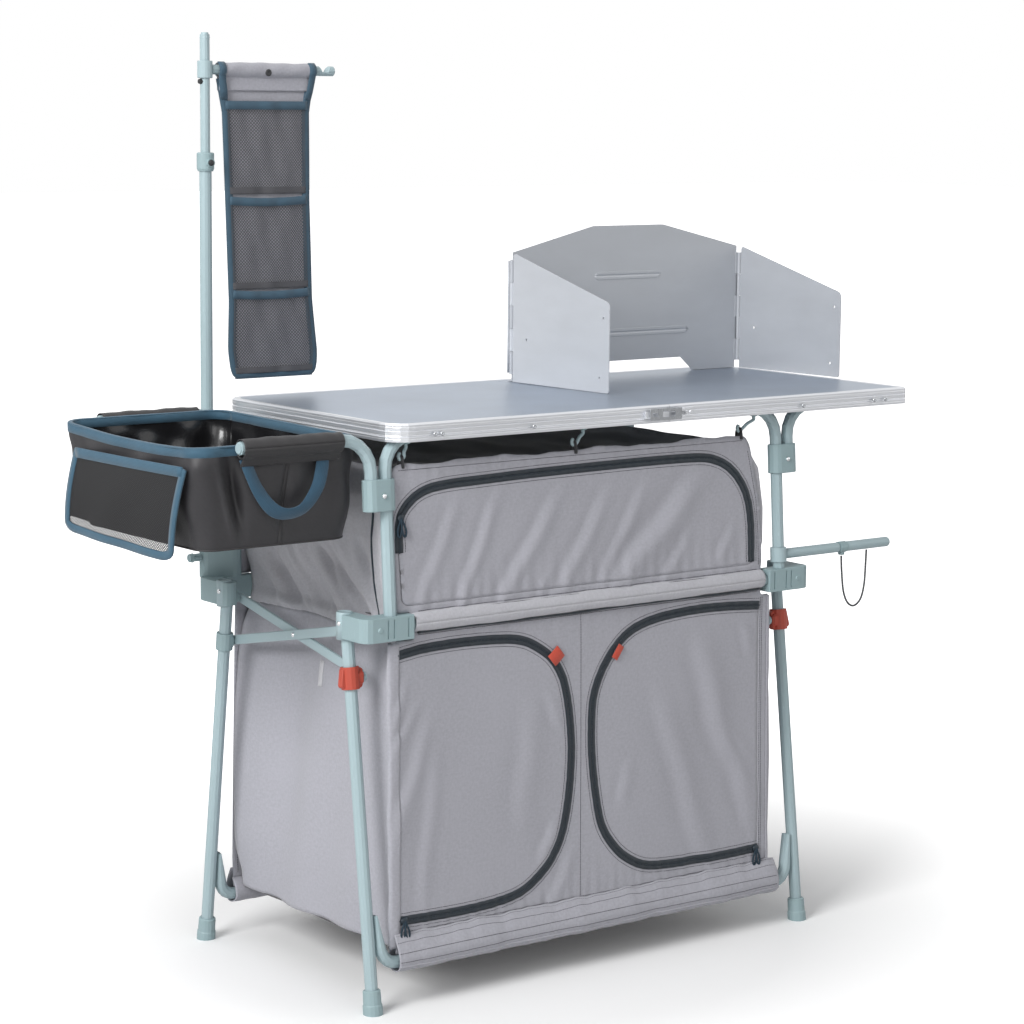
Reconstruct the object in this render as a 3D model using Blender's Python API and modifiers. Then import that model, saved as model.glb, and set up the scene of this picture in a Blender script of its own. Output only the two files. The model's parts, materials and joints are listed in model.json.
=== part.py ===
"""Folding camping cupboard with a table top, wind shield, side basin and organiser mast.

Metres, +Z up. X runs along the table, the front faces -Y, and the origin lies on
the floor under the middle of the whole outline. Sizes are driving dimensions at
the top; whatever fits, seats or lines up is worked out from them.
"""

import math

import bmesh
import bpy
import numpy as np
from mathutils import Matrix, Vector

# Tubes
TUBE_R = 0.009
TUBE_WALL = 0.0014
FIT = 0.0004
GAP = 0.0003
RIVET_R = 0.003
RIVET_HEAD_R = 0.005
RIVET_HEAD = 0.0013

# Legs, seen from the end they splay like an A
LEG_X = 0.400
FOOT_Y = 0.2226
LEG_TOP_Y = 0.1556
LEG_TOP_Z = 0.541
FOOT_R = 0.0135
FOOT_TALL = 0.034
FOOT_SOLE = 0.005

# Bottom rails, flattened tails riveted to the legs
RAIL_LOW_Z = 0.065
RAIL_TAIL = 0.070
RAIL_BEND = 0.026
TAIL_THICK = 0.005

# Corner brackets at the leg tops, and the rails between them
BRACKET_LOW = 0.522
BRACKET_HIGH = 0.556
BRACKET_IN_X = 0.330
BRACKET_WALL = 0.0046
BRACKET_RIB = 0.0022
MID_RAIL_Z = 0.540

# Upper frames, an upside-down U in a plane that leans in
POST_X = 0.361
POST_Y = 0.2070
POST_Z = 0.527
POST_LEAN = math.radians(4.0)
TOP_TUBE_Z = 0.8002
TUBE_BEND = 0.045

# Side arms in twin clamps
ARM_PITCH = 0.0236
CLAMP_LOW = 0.700
CLAMP_TALL = 0.044
CLAMP_R = 0.0128
BASIN_ARM_X = 0.592
TABLE_ARM_X = 0.585

# Scissor bars, flat-oval, two crossed at each end of the cupboard
BAR_TALL = 0.014
BAR_THICK = 0.005
PIVOT_Z = 0.531
SLIDER_Z = 0.466
CLIP_R = 0.0132
CLIP_TALL = 0.031
COLLAR_TALL = 0.025

# Table top in two halves
TABLE_LEFT_X = -0.366
TABLE_LONG = 0.979
TABLE_DEEP = 0.442
TABLE_TOP_Z = 0.820
RIM_TALL = 0.0255
RIM_WALL = 0.007
RIM_LIP = 0.0045
RIM_CORNER_LEFT = 0.036
RIM_CORNER_RIGHT = 0.012
DECK_THICK = 0.0105
SEAM_GAP = 0.0006
LATCH_LONG = 0.0645
LATCH_TALL = 0.017

# Wind shield standing on the table
SHIELD_X0 = 0.131
SHIELD_WIDE = 0.474
SHIELD_Y = 0.175
SHIELD_SIDE_TALL = 0.201
SHIELD_MID_TALL = 0.240
SHIELD_SHEET = 0.0016
WING_LONG = 0.228
WING_END_TALL = 0.136
WING_LEFT_TURN = math.radians(87.0)
WING_RIGHT_TURN = math.radians(94.0)
KNUCKLE_R = 0.0032

# Mast behind the left end
MAST_X = -0.393
MAST_Y = 0.2220
MAST_LOW_Z = 0.562
SOCKET_HIGH = 0.600
SCREW_Z = 0.584
HOOK_ARM_Z = 1.298
MAST_SPLIT_Z = HOOK_ARM_Z - 0.128
MAST_TOP_Z = HOOK_ARM_Z + 0.053
MAST_INNER_R = 0.0071
HOOK_ARM_R = 0.0075
HOOK_ARM_END_X = -0.171
MAST_SLEEVE_IN = 0.150

# Towel arm on the right post
TOWEL_Z = 0.575
TOWEL_R = 0.0055
TOWEL_END_X = 0.587
TOWEL_COLLAR_TALL = 0.022
LOOP_R = 0.0016

# Fabric cupboard
CLOTH = 0.0016
SLEEVE_R = 0.0112
COVER_LEFT_X = -0.356
COVER_RIGHT_X = 0.340
COVER_TOP_Z = 0.756
COVER_FLOOR_Z = 0.078
DOOR_GAP = 0.0020
BELLOWS_CLEAR = 0.0032

# Side basin
BASIN_IN_X = -0.404
BASIN_OUT_X = -0.656
BASIN_TOP_Z = 0.806
BASIN_LOW_Z = 0.664
BASIN_Y = 0.1782
BASIN_CLOTH = 0.0022

# Organiser
ORGANISER_LEFT_X = -0.374
ORGANISER_WIDE = 0.160
ORGANISER_LOW_Z = 0.853
ORGANISER_THICK = 0.0032

# Everything is moved along X so that the origin is under the middle of the outline
SHIFT_X = -(BASIN_OUT_X + TABLE_LEFT_X + TABLE_LONG) / 2.0

TEAL = (0.365, 0.510, 0.520, 1.0)
DARK_PLASTIC = (0.030, 0.033, 0.036, 1.0)
RED = (0.610, 0.095, 0.055, 1.0)
CLOTH_GREY = (0.390, 0.390, 0.410, 1.0)
CLOTH_DARK = (0.050, 0.050, 0.055, 1.0)
ALUMINIUM = (0.780, 0.790, 0.810, 1.0)
DECK_GREY = (0.470, 0.500, 0.540, 1.0)
STEEL = (0.620, 0.640, 0.660, 1.0)

MATERIALS = {}
PARTS = None
CUTTERS = None
ROOT = None


def clear_scene():
    """Remove what the file starts with and make the two collections."""
    global PARTS, CUTTERS, ROOT
    for thing in list(bpy.data.objects):
        bpy.data.objects.remove(thing, do_unlink=True)
    PARTS = bpy.data.collections.new("camping_cupboard")
    CUTTERS = bpy.data.collections.new("cutters")
    bpy.context.scene.collection.children.link(PARTS)
    bpy.context.scene.collection.children.link(CUTTERS)
    ROOT = empty("cupboard_frame", (SHIFT_X, 0.0, 0.0), None)


def material(name, colour, roughness, metallic=0.0):
    """One Principled material per finish, made once."""
    if name not in MATERIALS:
        made = bpy.data.materials.new(name)
        made.use_nodes = True
        shader = made.node_tree.nodes["Principled BSDF"]
        shader.inputs["Base Color"].default_value = colour
        shader.inputs["Roughness"].default_value = roughness
        shader.inputs["Metallic"].default_value = metallic
        MATERIALS[name] = made
    return MATERIALS[name]


def finish_table():
    """The finishes by name."""
    return {
        "teal": material("painted_tube", TEAL, 0.42),
        "plastic": material("teal_plastic", TEAL, 0.50),
        "black": material("black_plastic", DARK_PLASTIC, 0.55),
        "red": material("red_plastic", RED, 0.45),
        "cloth": material("grey_cloth", CLOTH_GREY, 0.90),
        "dark": material("dark_cloth", CLOTH_DARK, 0.80),
        "alu": material("aluminium", ALUMINIUM, 0.35, 0.9),
        "deck": material("deck_sheet", DECK_GREY, 0.45, 0.6),
        "steel": material("steel", STEEL, 0.30, 0.9),
    }


def empty(name, place, parent):
    """An empty that carries a moving group, its origin on the group's joint."""
    made = bpy.data.objects.new(name, None)
    PARTS.objects.link(made)
    made.location = place
    if parent is not None:
        made.parent = parent
        made.location = Vector(place) - home(parent)
    return made


def home(thing):
    """Where an empty stands, measured from the cupboard's own zero."""
    place = Vector(thing.location)
    up = thing.parent
    while up is not None:
        place += up.location
        up = up.parent
    return place - ROOT.location if ROOT is not None else place


def from_mesh(name, mesh):
    """An unlinked object from mesh data, linked to the cutters until it is finished."""
    made = bpy.data.objects.new(name, mesh)
    CUTTERS.objects.link(made)
    return made


def face_outward(bm):
    """Turn every face outward."""
    bmesh.ops.recalc_face_normals(bm, faces=bm.faces)
    closed = all(edge.is_manifold for edge in bm.edges)
    if closed and bm.calc_volume(signed=True) < 0.0:
        bmesh.ops.reverse_faces(bm, faces=bm.faces)


def bm_object(name, bm):
    """Close a bmesh into an object."""
    face_outward(bm)
    mesh = bpy.data.meshes.new(name)
    bm.to_mesh(mesh)
    bm.free()
    return from_mesh(name, mesh)


def box(name, low, high):
    """A box between two corners."""
    bm = bmesh.new()
    bmesh.ops.create_cube(bm, size=1.0)
    low, high = Vector(low), Vector(high)
    size = high - low
    bmesh.ops.scale(bm, verts=bm.verts, vec=size)
    bmesh.ops.translate(bm, verts=bm.verts, vec=(low + high) / 2.0)
    return bm_object(name, bm)


def rod(name, start, end, radius, end_radius=None, sides=16):
    """A solid round bar or cone between two points."""
    start, end = Vector(start), Vector(end)
    bm = bmesh.new()
    bmesh.ops.create_cone(
        bm,
        cap_ends=True,
        segments=sides,
        radius1=radius,
        radius2=radius if end_radius is None else end_radius,
        depth=(end - start).length,
    )
    turn = (end - start).to_track_quat("Z", "Y").to_matrix().to_4x4()
    bmesh.ops.transform(bm, matrix=Matrix.Translation((start + end) / 2.0) @ turn, verts=bm.verts)
    return bm_object(name, bm)


def bore(name, start, end, radius, sides=16):
    """A rod whose flats, not its corners, stand at the radius, for cutting holes."""
    return rod(name, start, end, radius / math.cos(math.pi / sides), sides=sides)


def turned(name, profile, start, axis, steps=24):
    """A turned piece: (radius, height) pairs, outer side top to bottom, spun by a Screw."""
    mesh = bpy.data.meshes.new(name)
    points = [(r, 0.0, h) for r, h in profile]
    mesh.from_pydata(points, [(i, i + 1) for i in range(len(points) - 1)], [])
    made = from_mesh(name, mesh)
    screw = made.modifiers.new("spin", "SCREW")
    screw.steps = steps
    screw.render_steps = steps
    screw.use_merge_vertices = True
    screw.merge_threshold = 0.00001
    made = baked(made)
    turn = Vector(axis).to_track_quat("Z", "Y").to_matrix().to_4x4()
    made.data.transform(Matrix.Translation(start) @ turn)
    return made


def baked(thing):
    """The object with its modifiers or curve made into plain mesh data, caps welded."""
    bpy.context.view_layer.update()
    graph = bpy.context.evaluated_depsgraph_get()
    mesh = bpy.data.meshes.new_from_object(thing.evaluated_get(graph))
    bm = bmesh.new()
    bm.from_mesh(mesh)
    bmesh.ops.remove_doubles(bm, verts=bm.verts, dist=0.00001)
    face_outward(bm)
    bm.to_mesh(mesh)
    bm.free()
    mesh.transform(thing.matrix_world)
    name = thing.name
    bpy.data.objects.remove(thing, do_unlink=True)
    return from_mesh(name, mesh)


def bent(corners, radius, steps=7):
    """Points along a path with its inner corners rounded by arcs."""
    corners = [Vector(c) for c in corners]
    points = [corners[0]]
    for before, corner, after in zip(corners, corners[1:], corners[2:]):
        back, on = (before - corner).normalized(), (after - corner).normalized()
        half = back.angle(on) / 2.0
        reach = radius / math.tan(half)
        centre = corner + (back + on).normalized() * (radius / math.sin(half))
        first = (corner + back * reach - centre).normalized()
        last = (corner + on * reach - centre).normalized()
        for i in range(steps + 1):
            points.append(centre + first.slerp(last, i / steps) * radius)
    return points + [corners[-1]]


def curve_object(name, points, dimensions="3D", cyclic=False):
    """A POLY spline through points."""
    data = bpy.data.curves.new(name, "CURVE")
    data.dimensions = dimensions
    spline = data.splines.new("POLY")
    spline.points.add(len(points) - 1)
    for knot, place in zip(spline.points, points):
        knot.co = (*place, 1.0)
    spline.use_cyclic_u = cyclic
    made = bpy.data.objects.new(name, data)
    CUTTERS.objects.link(made)
    return made


def solid_bar(name, points, radius, resolution=4):
    """A closed round bar along points."""
    made = curve_object(name, points)
    made.data.bevel_depth = radius
    made.data.bevel_resolution = resolution
    made.data.use_fill_caps = True
    return baked(made)


def tube(name, points, radius=TUBE_R, wall=TUBE_WALL, resolution=3):
    """An open-ended hollow tube along points."""
    made = curve_object(name, points)
    made.data.bevel_depth = radius
    made.data.bevel_resolution = resolution
    made = baked(made)
    shell = made.modifiers.new("wall", "SOLIDIFY")
    shell.thickness = wall
    shell.offset = -1.0
    return baked(made)


def plate(name, outline, thick, holes=(), matrix=None):
    """A flat piece: outline and holes as (u, v) loops, thick along its own normal."""
    data = bpy.data.curves.new(name, "CURVE")
    data.dimensions = "2D"
    data.fill_mode = "BOTH"
    data.extrude = thick / 2.0
    for loop in [outline, *holes]:
        spline = data.splines.new("POLY")
        spline.points.add(len(loop) - 1)
        for knot, (u, v) in zip(spline.points, loop):
            knot.co = (u, v, 0.0, 1.0)
        spline.use_cyclic_u = True
    made = bpy.data.objects.new(name, data)
    CUTTERS.objects.link(made)
    made = baked(made)
    if matrix is not None:
        made.data.transform(matrix)
        if matrix.determinant() < 0:
            made.data.flip_normals()
    return made


def ring(centre, radius, sides=16):
    """Points of a circle."""
    turns = [2.0 * math.pi * i / sides for i in range(sides)]
    return [(centre[0] + radius * math.cos(a), centre[1] + radius * math.sin(a)) for a in turns]


def rounded(corners, radii, steps=4):
    """A closed (u, v) outline with each corner rounded by its own radius."""
    count = len(corners)
    points = []
    for i, radius in enumerate(radii):
        before, corner, after = (Vector(corners[(i + k) % count]) for k in (-1, 0, 1))
        if radius <= 0.0:
            points.append(tuple(corner))
            continue
        back, on = (before - corner).normalized(), (after - corner).normalized()
        half = back.angle(on) / 2.0
        centre = corner + (back + on).normalized() * (radius / math.sin(half))
        first = corner + back * (radius / math.tan(half)) - centre
        last = corner + on * (radius / math.tan(half)) - centre
        sweep = math.atan2(first.x * last.y - first.y * last.x, first.dot(last))
        for k in range(steps + 1):
            a = sweep * k / steps
            spoke = Vector((
                first.x * math.cos(a) - first.y * math.sin(a),
                first.x * math.sin(a) + first.y * math.cos(a),
            ))
            points.append(tuple(centre + spoke))
    return points


def facing(normal_axis, place):
    """Stand a plate up: 'y' puts its (u, v) in (x, z), 'x' puts them in (y, z)."""
    if normal_axis == "y":
        rows = ((1, 0, 0), (0, 0, -1), (0, 1, 0))
    else:
        rows = ((0, 0, 1), (1, 0, 0), (0, 1, 0))
    return Matrix.Translation(place) @ Matrix(rows).to_4x4()


def leaning(place, angle):
    """The matrix of a plane that leans about X through a place."""
    return Matrix.Translation(place) @ Matrix.Rotation(angle, 4, "X")


def combine(thing, other, operation):
    """Boolean one object with another, which stays behind as a hidden cutter."""
    step = thing.modifiers.new(operation.lower(), "BOOLEAN")
    step.operation = operation
    step.solver = "EXACT"
    step.object = other
    other.hide_render = True
    other.display_type = "WIRE"
    made = baked(thing)
    return made


def cut(thing, *cutters):
    """Take cutters away."""
    for cutter in cutters:
        thing = combine(thing, cutter, "DIFFERENCE")
    return thing


def fuse(thing, *others):
    """Join overlapping shapes into one body."""
    for other in others:
        thing = combine(thing, other, "UNION")
    return thing


def eased(thing, width, segments=1, angle=40.0):
    """Break the sharp edges of a moulded or pressed piece."""
    step = thing.modifiers.new("ease", "BEVEL")
    step.width = width
    step.segments = segments
    step.limit_method = "ANGLE"
    step.angle_limit = math.radians(angle)
    return baked(thing)


def finished(thing, name, finish, carrier=None, pivot=None):
    """Name the piece, give it its own finish, set its origin and put it on its carrier."""
    carrier = carrier or ROOT
    pivot = Vector(pivot) if pivot is not None else home(carrier)
    mesh = thing.data
    thing.name = name
    mesh.name = name
    mesh.transform(Matrix.Translation(-pivot))
    thing.location = pivot - home(carrier)
    thing.parent = carrier
    mesh.materials.clear()
    own = finish.copy()
    own.name = name + "_finish"
    mesh.materials.append(own)
    mesh.shade_smooth()
    mesh.set_sharp_from_angle(angle=math.radians(35.0))
    CUTTERS.objects.unlink(thing)
    PARTS.objects.link(thing)
    return thing


# Working points of the leg planes and the scissors, seen from the end
LEG_SLOPE = (FOOT_Y - LEG_TOP_Y) / LEG_TOP_Z
SPLAY = math.atan(LEG_SLOPE)


def leg_y(z):
    """How far out a leg's axis is at a height."""
    return FOOT_Y - LEG_SLOPE * z


def post_y(z):
    """How far out a post's axis is at a height."""
    return POST_Y - (z - POST_Z) * math.tan(POST_LEAN)


PIVOT_Y = leg_y(PIVOT_Z)
SLIDER_Y = leg_y(SLIDER_Z)
CROSS_Z = PIVOT_Z - (PIVOT_Z - SLIDER_Z) * PIVOT_Y / (PIVOT_Y + SLIDER_Y)
BAR_UP = math.hypot(PIVOT_Y, PIVOT_Z - CROSS_Z)
BAR_DOWN = math.hypot(SLIDER_Y, CROSS_Z - SLIDER_Z)
BAR_TILT = math.atan2(PIVOT_Z - CROSS_Z, PIVOT_Y)

# Planes of the two bars, measured out from the cupboard's middle
BAR_A_OUT = 0.3865
BAR_A_IN = BAR_A_OUT - BAR_THICK
BAR_B_OUT = BAR_A_IN - 0.0005
BAR_B_IN = BAR_B_OUT - BAR_THICK
BRACKET_FACE = BAR_A_OUT + 0.0007


def side_name(sx):
    """Left is -X, right is +X."""
    return "left" if sx < 0 else "right"


def end_name(sy):
    """Front is -Y, back is +Y."""
    return "front" if sy < 0 else "back"


def leg(sx, sy, finish, carrier):
    """A splayed leg tube with its top in the bracket and a cross hole for the pivot rivet."""
    foot = Vector((sx * LEG_X, sy * leg_y(FOOT_SOLE), FOOT_SOLE))
    top = Vector((sx * LEG_X, sy * LEG_TOP_Y, LEG_TOP_Z))
    made = tube("leg", [foot, top], resolution=4)
    hole = bore(
        "leg_hole",
        (sx * (LEG_X - 0.015), sy * PIVOT_Y, PIVOT_Z),
        (sx * (LEG_X + 0.015), sy * PIVOT_Y, PIVOT_Z),
        RIVET_R + FIT,
        8,
    )
    made = cut(made, hole)
    finished(made, f"leg_{end_name(sy)}_{side_name(sx)}", finish["teal"], carrier)


def foot_cap(sx, sy, finish, carrier):
    """A rubber cup on the leg's end, cut flat on the floor."""
    along = Vector((0.0, sy * (LEG_TOP_Y - FOOT_Y), LEG_TOP_Z)).normalized()
    start = Vector((sx * LEG_X, sy * FOOT_Y, 0.0)) - along * 0.006
    hole = (TUBE_R + FIT) / math.cos(math.pi / 16)
    floor = 0.006 + (FOOT_SOLE - GAP) / math.cos(SPLAY) - 0.0018
    tall = FOOT_TALL + 0.006
    profile = [
        (0.0, floor),
        (hole, floor),
        (hole, tall),
        (FOOT_R - 0.0022, tall),
        (FOOT_R - 0.0008, tall - 0.0015),
        (FOOT_R - 0.0004, 0.020),
        (FOOT_R + 0.0006, 0.018),
        (FOOT_R + 0.0008, 0.0),
        (0.0, 0.0),
    ]
    made = turned("foot", profile, start, along, 16)
    made = cut(made, box("floor_cut", (-1.0, -1.0, -0.1), (1.0, 1.0, 0.0)))
    finished(made, f"foot_{end_name(sy)}_{side_name(sx)}", finish["black"], carrier)


def bottom_rail(sy, finish, carrier):
    """The low cross tube: its ends turn up and are flattened against the legs."""
    out = LEG_X - TUBE_R - TUBE_R - 0.0005
    high = RAIL_LOW_Z + RAIL_TAIL

    def at(x, z):
        return (x, sy * leg_y(z), z)

    corners = [at(-out, high), at(-out, RAIL_LOW_Z), at(out, RAIL_LOW_Z), at(out, high)]
    made = tube("rail", bent(corners, RAIL_BEND, 5))
    face = LEG_X - TUBE_R - 0.0005
    for vertex in made.data.vertices:
        away = face - abs(vertex.co.x)
        flat = min(max((vertex.co.z - RAIL_LOW_Z - RAIL_BEND) / 0.012, 0.0), 1.0)
        if flat > 0.0:
            squeeze = 1.0 + (TAIL_THICK / (2.0 * TUBE_R) - 1.0) * flat
            vertex.co.x = math.copysign(face - away * squeeze, vertex.co.x)
    finished(made, f"bottom_rail_{end_name(sy)}", finish["teal"], carrier)


def bracket(sx, sy, finish, carrier):
    """The moulded corner: sockets for post, rail and leg, ribs, and a face for a scissor bar."""
    rail_v = post_y(MID_RAIL_Z)
    leg_v = leg_y((BRACKET_LOW + BRACKET_HIGH) / 2.0)
    front = rail_v + TUBE_R + BRACKET_WALL
    back = rail_v - TUBE_R - BRACKET_WALL
    outer = LEG_X + TUBE_R + BRACKET_WALL
    inner = BRACKET_FACE
    end = leg_v - TUBE_R - BRACKET_WALL
    corners = [
        (BRACKET_IN_X, back),
        (inner, back),
        (inner, end),
        (outer, end),
        (outer, front),
        (BRACKET_IN_X, front),
    ]
    outline = rounded(corners, [0.0, 0.003, 0.011, 0.011, 0.014, 0.0], 3)
    turn = Matrix(((sx, 0, 0, 0), (0, sy, 0, 0), (0, 0, 1, 0), (0, 0, 0, 1)))
    lift = Matrix.Translation((0.0, 0.0, (BRACKET_LOW + BRACKET_HIGH) / 2.0))
    made = plate("bracket", outline, BRACKET_HIGH - BRACKET_LOW, matrix=lift @ turn)
    made = eased(made, 0.0012)
    holds_mast = sx < 0 < sy
    top = BRACKET_HIGH
    if holds_mast:
        made = fuse(made, mast_socket())
        top = SOCKET_HIGH
    hole = TUBE_R + FIT

    def post_at(z):
        return (sx * POST_X, sy * post_y(z), z)

    def leg_at(z):
        return (sx * LEG_X, sy * leg_y(z), z)

    rail_stop = POST_X - TUBE_R - FIT - 0.0022
    pin_in, pin_out = sx * (BRACKET_FACE - 0.01), sx * (outer + 0.01)
    made = cut(
        made,
        bore("post_bore", post_at(POST_Z - 0.002), post_at(top + 0.01), hole, 12),
        bore("leg_bore", leg_at(BRACKET_LOW - 0.01), leg_at(LEG_TOP_Z + 0.0015), hole, 12),
        bore(
            "rail_bore",
            (sx * (BRACKET_IN_X - 0.01), sy * rail_v, MID_RAIL_Z),
            (sx * rail_stop, sy * rail_v, MID_RAIL_Z),
            hole,
            12,
        ),
        bore(
            "pin_bore",
            (pin_in, sy * PIVOT_Y, PIVOT_Z),
            (pin_out, sy * PIVOT_Y, PIVOT_Z),
            RIVET_R + FIT,
            8,
        ),
    )
    if holds_mast:
        start = (MAST_X, MAST_Y, MAST_LOW_Z - GAP)
        screw = (MAST_X - 0.03, MAST_Y, SCREW_Z)
        made = cut(
            made,
            bore("mast_bore", start, (MAST_X, MAST_Y, top + 0.01), hole, 12),
            bore("screw_bore", screw, (MAST_X - TUBE_R + 0.001, MAST_Y, SCREW_Z), RIVET_R + FIT, 8),
        )
    # Grooves between the ribs on the outer face
    for u in (BRACKET_IN_X + 0.010, POST_X + 0.003, POST_X + 0.013):
        low = (sx * u - 0.0013, sy * front - 0.0016, BRACKET_LOW + 0.004)
        high = (sx * u + 0.0013, sy * front + 0.0016, BRACKET_HIGH - 0.004)
        made = cut(made, box("groove", low, high))
    head = (sx * (LEG_X - 0.013), sy * (front - 0.001), MID_RAIL_Z - 0.001)
    tip = (head[0], sy * (front + RIVET_HEAD), head[2])
    made = fuse(made, rod("head", head, tip, RIVET_HEAD_R, RIVET_HEAD_R * 0.6, 10))
    if sy > 0:
        # The back bars run in the inner plane, so their pivot stands on a boss
        start = (sx * (BAR_B_OUT + 0.0004), sy * PIVOT_Y, PIVOT_Z)
        stop = (sx * (BRACKET_FACE + 0.0015), sy * PIVOT_Y, PIVOT_Z)
        boss = cut(
            rod("boss", start, stop, BAR_TALL / 2.0, sides=12),
            bore("boss_bore", (start[0] - sx * 0.01, *start[1:]), (pin_out, *stop[1:]), RIVET_R + FIT, 8),
        )
        made = fuse(made, boss)
    finished(made, f"bracket_{end_name(sy)}_{side_name(sx)}", finish["plastic"], carrier)


def mid_rail(sy, finish, carrier):
    """The straight tube between the brackets, inside the fabric's middle sleeve."""
    out = POST_X - TUBE_R - FIT - 0.0022 - GAP
    y = sy * post_y(MID_RAIL_Z)
    made = tube("mid", [(-out, y, MID_RAIL_Z), (out, y, MID_RAIL_Z)])
    finished(made, f"mid_rail_{end_name(sy)}", finish["teal"], carrier)


def upper_frame(sy, finish, carrier):
    """Two posts and the tube under the table, bent from one piece."""

    def at(x, z):
        return (x, sy * post_y(z), z)

    corners = [
        at(-POST_X, POST_Z),
        at(-POST_X, TOP_TUBE_Z),
        at(POST_X, TOP_TUBE_Z),
        at(POST_X, POST_Z),
    ]
    made = tube("upper", bent(corners, TUBE_BEND, 5))
    finished(made, f"upper_frame_{end_name(sy)}", finish["teal"], carrier)


def side_arm(sx, sy, reach, name, finish, carrier):
    """An arm tube that stands in a twin clamp and bends outward at the table's height."""
    x = POST_X + ARM_PITCH

    def at(u, z):
        return (sx * u, sy * post_y(z), z)

    corners = [at(x, CLAMP_LOW + 0.004), at(x, TOP_TUBE_Z), at(reach, TOP_TUBE_Z)]
    made = tube("arm", bent(corners, TUBE_BEND, 5))
    stop = rod("plug", at(reach - 0.004, TOP_TUBE_Z), at(reach + 0.0022, TOP_TUBE_Z), TUBE_R - 0.0007, TUBE_R * 0.8, 10)
    made = fuse(made, stop)
    finished(made, name, finish["teal"], carrier)


def twin_clamp(sx, sy, finish, carrier):
    """The moulded figure-eight that holds an arm beside its post, with a screw and an eyelet."""
    u0, u1 = POST_X, POST_X + ARM_PITCH
    outline = []
    for centre, first in ((u0, 90.0), (u1, -90.0)):
        for k in range(7):
            a = math.radians(first + 180.0 * k / 6.0)
            outline.append((centre + CLAMP_R * math.cos(a), CLAMP_R * math.sin(a)))
    middle = CLAMP_LOW + CLAMP_TALL / 2.0
    place = leaning((0.0, sy * post_y(middle), middle), sy * POST_LEAN)
    turn = Matrix(((sx, 0, 0, 0), (0, 1, 0, 0), (0, 0, 1, 0), (0, 0, 0, 1)))
    made = plate("clamp", outline, CLAMP_TALL, matrix=place @ turn)
    made = eased(made, 0.001)

    def at(u, z):
        return (sx * u, sy * post_y(z), z)

    hole = TUBE_R + FIT
    low, high = CLAMP_LOW - 0.01, CLAMP_LOW + CLAMP_TALL + 0.01
    made = cut(
        made,
        bore("post_bore", at(u0, low), at(u0, high), hole, 12),
        bore("arm_bore", at(u1, CLAMP_LOW + 0.0035), at(u1, high), hole, 12),
    )
    face = sy * (post_y(middle) + CLAMP_R)
    head = [(sx * (u0 + 0.011), face - sy * 0.0012, middle), (sx * (u0 + 0.011), face + sy * 0.0016, middle)]
    made = fuse(made, rod("screw", head[0], head[1], 0.0038, 0.0028, 8))
    finished(made, f"twin_clamp_{end_name(sy)}_{side_name(sx)}", finish["plastic"], carrier)


def build_frame(sy, finish, carrier):
    """One long side of the frame, all of it one rigid group."""
    for sx in (-1, 1):
        leg(sx, sy, finish, carrier)
        foot_cap(sx, sy, finish, carrier)
        bracket(sx, sy, finish, carrier)
        twin_clamp(sx, sy, finish, carrier)
    bottom_rail(sy, finish, carrier)
    mid_rail(sy, finish, carrier)
    upper_frame(sy, finish, carrier)
    side_arm(-1, sy, BASIN_ARM_X, f"basin_arm_{end_name(sy)}", finish, carrier)
    side_arm(1, sy, TABLE_ARM_X, f"table_arm_{end_name(sy)}", finish, carrier)


def rivet(sx, y, z, inner, outer, capped):
    """A rivet along X: a head inside |x| = inner, a shank, and at the far end a cap or none."""
    profile = [(0.0, outer), (RIVET_R, outer)]
    if capped:
        far = outer + RIVET_HEAD
        profile = [(0.0, far), (RIVET_HEAD_R * 0.6, far), (RIVET_HEAD_R, outer), (RIVET_R, outer)]
    near = inner - RIVET_HEAD - 0.0006
    profile += [(RIVET_R, inner), (RIVET_HEAD_R, inner), (RIVET_HEAD_R * 0.6, near), (0.0, near)]
    return turned("rivet", profile, (0.0, y, z), (sx, 0.0, 0.0), 10)


def scissor_bar(sx, sy, plane_in, hole_at_cross, finish, carrier):
    """A flat-oval bar from a leg top at one side to the slider on the opposite leg.

    sy is the side of the fixed pivot; the other end runs down across the middle.
    """
    half = BAR_TALL / 2.0
    steps = 6
    outline = []
    for centre, first in ((BAR_UP, -90.0), (-BAR_DOWN, 90.0)):
        for k in range(steps + 1):
            a = math.radians(first + 180.0 * k / steps)
            outline.append((centre + half * math.cos(a), half * math.sin(a)))
    tilt = Matrix.Rotation(BAR_TILT if sy > 0 else -BAR_TILT, 4, "X")
    flip = Matrix(((1, 0, 0, 0), (0, sy, 0, 0), (0, 0, 1, 0), (0, 0, 0, 1)))
    middle = sx * (plane_in + BAR_THICK / 2.0)
    place = Matrix.Translation((middle, 0.0, CROSS_Z)) @ tilt @ flip @ facing("x", (0.0, 0.0, 0.0))
    made = plate("bar", outline, BAR_THICK, matrix=place)
    made = eased(made, 0.0014)
    sunk = plane_in + 0.0006
    outer = LEG_X + TUBE_R + BRACKET_WALL + 0.0005
    made = fuse(
        made,
        rivet(sx, sy * PIVOT_Y, PIVOT_Z, sunk, outer, True),
        rivet(sx, -sy * SLIDER_Y, SLIDER_Z, sunk, plane_in + BAR_THICK - 0.001, False),
    )
    if hole_at_cross:
        ends = [(sx * (plane_in + u), 0.0, CROSS_Z) for u in (-0.01, 0.01)]
        made = cut(made, bore("cross_hole", ends[0], ends[1], RIVET_R + FIT, 8))
    else:
        made = fuse(made, rivet(sx, 0.0, CROSS_Z, BAR_B_IN - 0.0004, BAR_A_IN + 0.0025, False))
    which = "a" if sy < 0 else "b"
    finished(made, f"scissor_{which}_{side_name(sx)}", finish["teal"], carrier)


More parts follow.
